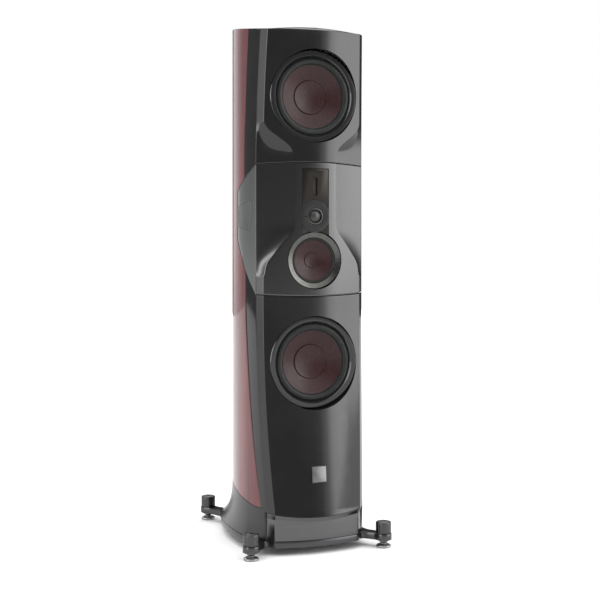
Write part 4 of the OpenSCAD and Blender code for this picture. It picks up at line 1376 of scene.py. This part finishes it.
def nut(i, x, z):
    """Knurled nut about the post's axis."""
    prof = [(4.1, 0.05), (7.8, 0.05), (8.1, 0.4), (8.1, 1.8), (9.0, 2.8), (9.2, 3.6), (9.2, 15.6), (8.8, 16.6), (8.0, 17.3), (4.6, 17.35), (4.1, 16.9)]
    seg = 144
    verts, faces = [], []
    n = len(prof)
    for k in range(seg):
        a = 2 * math.pi * k / seg
        for (r, d) in prof:
            rr = r
            if 2.5 < d < 17 and r > 8.5:
                rr = r - 0.45 * (0.5 + 0.5 * math.cos(a * 24)) ** 0.8
            verts.append((x + rr * math.cos(a), BY + 8.4 + d, z + rr * math.sin(a)))
    for k in range(seg):
        k2 = (k + 1) % seg
        for i2 in range(n):
            j = (i2 + 1) % n
            faces.append((k * n + i2, k * n + j, k2 * n + j, k2 * n + i2))
    ob = make("terminal_nut_visual_%d" % i, verts, faces, "brass", 45)
    put(ob, "terminal_nut_%d_body" % i, "terminal_brass", "terminal_nut_%d" % i)


for i, (x, z) in enumerate(TERMS, 1):
    nut(i, x, z)


# ---------------------------------------------------------------- badge, left blank
def badge_place(pts):
    a = math.radians(6.7)
    y0 = arc_y(246, 0)
    out = []
    for (x, y, z) in pts:
        out.append((x, y0 + y * math.cos(a) + z * math.sin(a), 246 - y * math.sin(a) + z * math.cos(a)))
    return out


def tilt_box(name, hx, hz, y0, y1, mat, r=2.0, edge=0.5, hole=None):
    def outline(hx, hz, r):
        pts = []
        for (sx, sz, a0) in ((1, 1, 0), (-1, 1, 90), (-1, -1, 180), (1, -1, 270)):
            for i in range(6):
                a = math.radians(a0 + 90 * i / 5)
                pts.append((sx * (hx - r) + r * math.cos(a), sz * (hz - r) + r * math.sin(a)))
        return pts
    if hole is None:
        rows = [(hx, hz, y1, r), (hx, hz, y0 + edge, r), (hx - edge * 0.3, hz - edge * 0.3, y0 + edge * 0.3, r), (hx - edge, hz - edge, y0, max(r - edge, 0.3))]
        rings = [badge_place([(x, y, z) for x, z in outline(a, b, rr)]) for a, b, y, rr in rows]
        return skin(name, rings, mat, 30)
    gx, gz = hole
    rows = [(hx, hz, y1, r), (hx, hz, y0 + edge, r), (hx - edge * 0.3, hz - edge * 0.3, y0 + edge * 0.3, r), (hx - edge, hz - edge, y0, max(r - edge, 0.3)),
            (gx + edge, gz + edge, y0, 1.2), (gx + edge * .3, gz + edge * .3, y0 + edge * .3, 1.0), (gx, gz, y0 + edge, 0.9), (gx, gz, y1, 0.9)]
    rings = [badge_place([(x, y, z) for x, z in outline(a, b, rr)]) for a, b, y, rr in rows]
    n = len(rings[0])
    verts = [p for r_ in rings for p in r_]
    faces = []
    m = len(rings)
    for j in range(m):
        j2 = (j + 1) % m
        for i in range(n):
            i2 = (i + 1) % n
            faces.append((j * n + i, j * n + i2, j2 * n + i2, j2 * n + i))
    return make(name, verts, faces, mat, 30)


put(tilt_box("badge_frame_visual", 26, 27, -1.9, 3.2, "gloss_black", 2.2, 0.6, (23.3, 24.3)), "cabinet", "badge_black", "badge_frame")
put(tilt_box("badge_plate_visual", 22.9, 23.9, -1.5, 1.5, "badge", 0.8, 0.3), "cabinet", "badge_metal", "badge_plate")


# ---------------------------------------------------------------- base plate with four arms
def arm_poly(x0, y0, x1, y1, w0, w1):
    a = math.atan2(y1 - y0, x1 - x0); L = math.hypot(x1 - x0, y1 - y0)
    pts = [(0, -w0), (L * 0.45, -w1 * 1.1), (L, -w1), (L, w1), (L * 0.45, w1 * 1.1), (0, w0)]
    return [(x0 + p * math.cos(a) - q * math.sin(a), y0 + p * math.sin(a) + q * math.cos(a)) for p, q in pts]


def poly_sdf(P, pts):
    """Signed distance of points P (n,2) to a polygon, negative inside."""
    d = np.full(len(P), 1e18)
    inside = np.zeros(len(P), bool)
    V = np.array(pts, float)
    for i in range(len(V)):
        a = V[i]; b = V[(i + 1) % len(V)]
        e = b - a; w = P - a
        t = np.clip((w @ e) / max(e @ e, 1e-12), 0, 1)
        q = w - t[:, None] * e
        d = np.minimum(d, (q ** 2).sum(1))
        c1 = (a[1] <= P[:, 1]) != (b[1] <= P[:, 1])
        with np.errstate(divide="ignore", invalid="ignore"):
            xx = a[0] + (P[:, 1] - a[1]) / (b[1] - a[1]) * (b[0] - a[0])
        inside ^= c1 & (P[:, 0] < xx)
    return np.where(inside, -1, 1) * np.sqrt(d)


def base_outline():
    """Outline of the plate with blended arms, as an ordered loop."""
    h = 3.0
    X = np.arange(-262, 262 + h, h); Y = np.arange(-262, 392 + h, h)
    gx, gy = np.meshgrid(X, Y)
    P = np.stack([gx.ravel(), gy.ravel()], 1)
    front = [(x, y) for (x, y) in plinth_half()]
    body = [(-x, y) for x, y in front[::-1]] + front[1:]
    ys = [-160, -130, -95, -60, -20, 20, 60, 100, 140, 180, 215, 245, 270]
    body += [(base_x(y), y) for y in ys] + [(150, 284), (134, 292), (-134, 292), (-150, 284)] + [(-base_x(y), y) for y in ys[::-1]]
    f = poly_sdf(P, body)
    for s in (-1, 1):
        for (x0, y0, x1, y1, w0, w1) in ((150, -130, 221, -213, 46, 18), (120, 230, 184, 354, 50, 18)):
            poly = arm_poly(s * x0, y0, s * x1, y1, w0, w1)
            g = poly_sdf(P, poly)
            k = 16.0
            hh = np.clip(0.5 + 0.5 * (g - f) / k, 0, 1)
            f = g * (1 - hh) + f * hh - k * hh * (1 - hh) * 0.6
            c = np.hypot(P[:, 0] - s * x1, P[:, 1] - y1) - 26.4
            k = 10.0
            hh = np.clip(0.5 + 0.5 * (c - f) / k, 0, 1)
            f = c * (1 - hh) + f * hh - k * hh * (1 - hh) * 0.25
    F = f.reshape(gx.shape)
    # marching squares
    segs = {}
    ny, nx = F.shape

    def pt(i0, j0, i1, j1):
        a, b = F[j0, i0], F[j1, i1]
        t = a / (a - b)
        return (X[i0] + t * (X[i1] - X[i0]), Y[j0] + t * (Y[j1] - Y[j0]))
    nxt = {}
    for j in range(ny - 1):
        for i in range(nx - 1):
            c = [(i, j), (i + 1, j), (i + 1, j + 1), (i, j + 1)]
            s = [F[b, a] < 0 for a, b in c]
            if all(s) or not any(s):
                continue
            cr = []
            for k in range(4):
                k2 = (k + 1) % 4
                if s[k] != s[k2]:
                    key = tuple(sorted((c[k], c[k2])))
                    cr.append((key, s[k]))
            if len(cr) == 2:
                # walk so that the inside stays on the left
                (k0, in0), (k1, in1) = cr
                if in0:
                    nxt[k0] = k1
                else:
                    nxt[k1] = k0
            else:
                for q in (0, 2):
                    (k0, in0), (k1, in1) = cr[q], cr[(q + 1) % 4]
                    if in0:
                        nxt[k0] = k1
                    else:
                        nxt[k1] = k0
    best = []
    while nxt:
        start = next(iter(nxt)); loop = [start]; cur = nxt.pop(start)
        while cur in nxt and cur != start:
            loop.append(cur); cur = nxt.pop(cur)
        if len(loop) > len(best):
            best = loop
    pts = [pt(a[0], a[1], b[0], b[1]) for a, b in best]
    P = np.array(pts)
    for _ in range(3):
        P = 0.25 * np.roll(P, 1, axis=0) + 0.5 * P + 0.25 * np.roll(P, -1, axis=0)
    return resample(np.vstack([P, P[:1]]), 421)[:-1]


def base_plate():
    P = base_outline()
    if loop_area([(a, b, 0) for a, b in P]) < 0:
        P = P[::-1]
    rings = []
    for z, d in ((BASEZ, 1.6), (BASEZ + 0.5, 0.5), (BASEZ + 1.6, 0.0), (BTOP - 2.4, 0.0), (BTOP - 0.8, 0.6), (BTOP - 0.15, 1.7), (BTOP, 2.6)):
        r = ring_scale_in([(x, y, z) for x, y in P], d)
        rings.append(r)
    ob = skin("base_plate_visual", rings, "base", 30)
    cutters = []
    for k, (x, y) in FEET.items():
        cutters.append(lathe("c", [(0, -10), (6.1, -10), (6.1, 60), (0, 60)], lambda p, x=x, y=y: (x + p[0], y + p[1], p[2] + 5), "dark", 48, closed=False))
    for (x, y) in ((-120, -110), (120, -110), (-140, 60), (140, 60), (-80, 190), (80, 190)):
        cutters.append(lathe("c", [(0, 10), (7.2, 10), (7.2, 32), (4.2, 32), (4.2, 60), (0, 60)], lambda p, x=x, y=y: (x + p[0], y + p[1], p[2]), "dark", 48, closed=False))
    return cut(ob, cutters, 30)


put(base_plate(), "cabinet", "base_aluminium", "base_plate")


# feet and knobs
def up_place(x, y):
    return lambda p: (x + p[0], y + p[1], p[2])


def foot(tag, x, y):
    prof = rounded([(0.0, 0.0), (21.5, 0.0), (23.4, 2.4), (23.3, 6.8), (17.5, 10.0), (8.0, 10.9), (7.0, 12.4), (8.2, 13.4), (18.0, 21.6), (18.6, 23.85), (6.0, 23.9),
                    (6.0, 76.9), (0.0, 76.9)], [0, 1.2, 1.2, 1.6, 2.0, 0.8, 0.6, 0.8, 0.8, 0.6, 0.1, 0.8, 0], 3)
    ob = lathe("foot_visual_" + tag, prof, up_place(x, y), "foot", 96, 40)
    put(ob, "foot_%s_body" % tag, "foot_steel", "foot_" + tag)


def knob(tag, x, y):
    """Round knob with soft finger scallops; its top is a pale turned disc."""
    z0 = BTOP + 0.8
    prof = [(6.1, 0.02), (22.6, 0.02), (23.7, 0.4), (24.15, 1.4), (24.2, 3.0), (24.2, 30.0), (24.1, 31.6), (23.5, 33.2), (22.2, 34.5), (20.8, 35.05), (19.6, 35.18),
            (19.2, 34.9), (7.4, 34.9), (6.9, 35.15), (6.1, 35.15)]
    seg = 192
    verts, faces = [], []
    n = len(prof)
    for k in range(seg):
        a = 2 * math.pi * k / seg
        for (r, d) in prof:
            rr = r
            if r > 20:
                # scallops cut by circles of radius 7.2 at knob_r + 6.6
                ph = (math.degrees(a) + 15) % 30 - 15
                c = 24.2 + 6.6
                s = math.sin(math.radians(ph)) * c
                if abs(s) < 7.2:
                    lim = c * math.cos(math.radians(ph)) - math.sqrt(7.2 ** 2 - s ** 2)
                    soft = 0.25
                    rr = min(r, lim + (r - 24.2) * 0.7)
            verts.append((x + rr * math.cos(a), y + rr * math.sin(a), z0 + d))
    for k in range(seg):
        k2 = (k + 1) % seg
        for i in range(n):
            j = (i + 1) % n
            faces.append((k * n + i, k * n + j, k2 * n + j, k2 * n + i))
    ob = make("knob_visual_" + tag, verts, faces, "knob", 32)
    ob.data.materials.append(M["knob_top"])
    for f in ob.data.polygons:
        c = f.center
        r = math.hypot(c[0] * 1000 - x, c[1] * 1000 - YO - y)
        if c[2] * 1000 > z0 + 34.5 and r < 19.3:
            f.material_index = 1
    put(ob, "knob_%s_body" % tag, "knob_black", "knob_" + tag)


for t, (x, y) in FEET.items():
    foot(t, x, y)
    knob(t, x, y)

# ---------------------------------------------------------------- finishes on the parts that keep their built shape
for node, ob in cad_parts.items():
    if ob.hide_render:
        continue
    if node in ("bottom_panel", "braces"):
        m, sl = M["board"], "panel_board"
    elif node == "mid_enclosure":
        m, sl = M["basket"], "cast_inner"
    elif node.endswith("basket"):
        m, sl = M["basket"], "basket_cast"
    elif node.endswith("motor"):
        m, sl = M["motor"], "motor_steel"
    elif node.endswith("coil"):
        m, sl = M["copper"], "copper"
    elif node == "crossover":
        m, sl = M["pcb"], "crossover_parts"
    elif node == "base_bolts":
        m, sl = M["steel"], "steel"
    elif node == "wing_covers":
        m, sl = M["cast_side"], "cast_satin_black"
    else:
        m, sl = M["dark"], None
    for s in ob.material_slots:
        s.material = m
    if not ob.material_slots:
        ob.data.materials.append(m)

# ---------------------------------------------------------------- floor
nfl = 24
fv = [(-9000 + 18000 * i / nfl, -7000 + 18000 * j / nfl, 0.0) for j in range(nfl + 1) for i in range(nfl + 1)]
ff = grid_faces(nfl + 1, nfl + 1)
floor_m, nt, p = _nodes("pale_floor")
v = coords(nt)
nt.links.new(ramp(nt, noise(nt, v, 1.5, 3), [(0.2, (0.86, 0.86, 0.86)), (0.8, (0.88, 0.88, 0.88))]), p.inputs["Base Color"])
nt.links.new(maprange(nt, noise(nt, v, 8, 3), 0.72, 0.85, 0.3, 0.7), p.inputs["Roughness"])
floor = make("floor", fv, ff, floor_m, 35, fix=False)

# ---------------------------------------------------------------- studio light from the world
world = bpy.data.worlds.new("studio")
bpy.context.scene.world = world
world.use_nodes = True
wt = world.node_tree
for n in list(wt.nodes):
    wt.nodes.remove(n)
tc = N(wt, "ShaderNodeTexCoord")
sep = N(wt, "ShaderNodeSeparateXYZ")
wt.links.new(tc.outputs["Generated"], sep.inputs[0])
negy = N(wt, "ShaderNodeMath", operation="MULTIPLY"); negy.inputs[1].default_value = -1
wt.links.new(sep.outputs["Y"], negy.inputs[0])
at = N(wt, "ShaderNodeMath", operation="ARCTAN2")
wt.links.new(sep.outputs["X"], at.inputs[0]); wt.links.new(negy.outputs[0], at.inputs[1])
mr_ = N(wt, "ShaderNodeMapRange")
mr_.inputs["From Min"].default_value = -math.pi; mr_.inputs["From Max"].default_value = math.pi
mr_.inputs["To Min"].default_value = 0; mr_.inputs["To Max"].default_value = 1
wt.links.new(at.outputs[0], mr_.inputs["Value"])
# azimuth from the front (-Y), positive towards +X
STOPS = [(-180, 1.2), (-166, 1.1), (-152, 0.45), (-140, 0.30), (-125, 0.35), (-104, 0.5), (-92, 1.5), (-84, 2.3), (-78, 5.0), (-74, 6.0),
         (-64, 6.0), (-59, 0.5), (-40, 0.26), (0, 0.24), (18, 0.26), (24, 0.45), (30, 1.6), (35, 4.2), (42, 5.2), (60, 4.8), (75, 4.0),
         (80, 2.6), (92, 0.8), (110, 0.30), (121, 0.07), (130, 0.07), (150, 0.05), (175, 0.05), (180, 1.2)]
LOW = [(-180, 0.20), (-150, 0.10), (-110, 0.12), (-92, 0.6), (-80, 1.2), (-64, 0.8), (-50, 0.32), (-20, 0.5), (0, 0.9), (18, 1.4), (24, 2.2),
       (32, 3.4), (45, 4.2), (72, 4.0), (82, 2.2), (95, 0.6), (120, 0.08), (174, 0.06), (180, 0.20)]
TOP = 6.0
el_ = [((a + 180) / 360.0, v_ / TOP) for a, v_ in STOPS]
cr = N(wt, "ShaderNodeValToRGB")
cr.color_ramp.interpolation = "LINEAR"
set_ramp(cr.color_ramp, [(pos, (val, val, val)) for pos, val in el_])
wt.links.new(mr_.outputs["Result"], cr.inputs["Fac"])
# elevation: the softboxes end above, an overhead panel fills from straight up
elev = N(wt, "ShaderNodeMapRange")
elev.interpolation_type = "SMOOTHSTEP"
elev.inputs["From Min"].default_value = 0.45; elev.inputs["From Max"].default_value = 0.72
elev.inputs["To Min"].default_value = 0; elev.inputs["To Max"].default_value = 1
wt.links.new(sep.outputs["Z"], elev.inputs["Value"])
sc_ = N(wt, "ShaderNodeVectorMath", operation="SCALE")
sc_.inputs["Scale"].default_value = TOP
wt.links.new(cr.outputs["Color"], sc_.inputs[0])
low = N(wt, "ShaderNodeValToRGB")
set_ramp(low.color_ramp, [((a + 180) / 360.0, (v_ / TOP,) * 3) for a, v_ in LOW])
wt.links.new(mr_.outputs["Result"], low.inputs["Fac"])
sl_ = N(wt, "ShaderNodeVectorMath", operation="SCALE")
sl_.inputs["Scale"].default_value = TOP
wt.links.new(low.outputs["Color"], sl_.inputs[0])
down = N(wt, "ShaderNodeMapRange")
down.interpolation_type = "SMOOTHSTEP"
down.inputs["From Min"].default_value = 0.02; down.inputs["From Max"].default_value = -0.16
down.inputs["To Min"].default_value = 0; down.inputs["To Max"].default_value = 1
wt.links.new(sep.outputs["Z"], down.inputs["Value"])
mixd = N(wt, "ShaderNodeMix", data_type="RGBA")
wt.links.new(down.outputs["Result"], mixd.inputs["Factor"])
wt.links.new(sc_.outputs["Vector"], mixd.inputs["A"])
wt.links.new(sl_.outputs["Vector"], mixd.inputs["B"])
mixw = N(wt, "ShaderNodeMix", data_type="RGBA")
wt.links.new(elev.outputs["Result"], mixw.inputs["Factor"])
wt.links.new(mixd.outputs["Result"], mixw.inputs["A"])
mixw.inputs["B"].default_value = (2.1, 2.1, 2.1, 1)
bg = N(wt, "ShaderNodeBackground")
wt.links.new(mixw.outputs["Result"], bg.inputs["Color"])
white = N(wt, "ShaderNodeBackground")
white.inputs["Color"].default_value = (1, 1, 1, 1)
white.inputs["Strength"].default_value = 1.0
lp = N(wt, "ShaderNodeLightPath")
ms_ = N(wt, "ShaderNodeMixShader")
wt.links.new(lp.outputs["Is Camera Ray"], ms_.inputs["Fac"])
wt.links.new(bg.outputs[0], ms_.inputs[1]); wt.links.new(white.outputs[0], ms_.inputs[2])
outw = N(wt, "ShaderNodeOutputWorld")
wt.links.new(ms_.outputs[0], outw.inputs["Surface"])

bpy.context.scene.view_settings.view_transform = "Standard"

# ---------------------------------------------------------------- camera at the photograph's angle
cam = bpy.data.cameras.new("camera")
cam.lens = 73.44
cam.sensor_width = 36
cam.shift_y = -0.1082
cam_ob = bpy.data.objects.new("camera", cam)
cam_ob.location = (-1.4254, -3.7982, 0.9862)
cam_ob.rotation_euler = (math.radians(90), 0, math.radians(-21.2))
bpy.context.collection.objects.link(cam_ob)
bpy.context.scene.camera = cam_ob
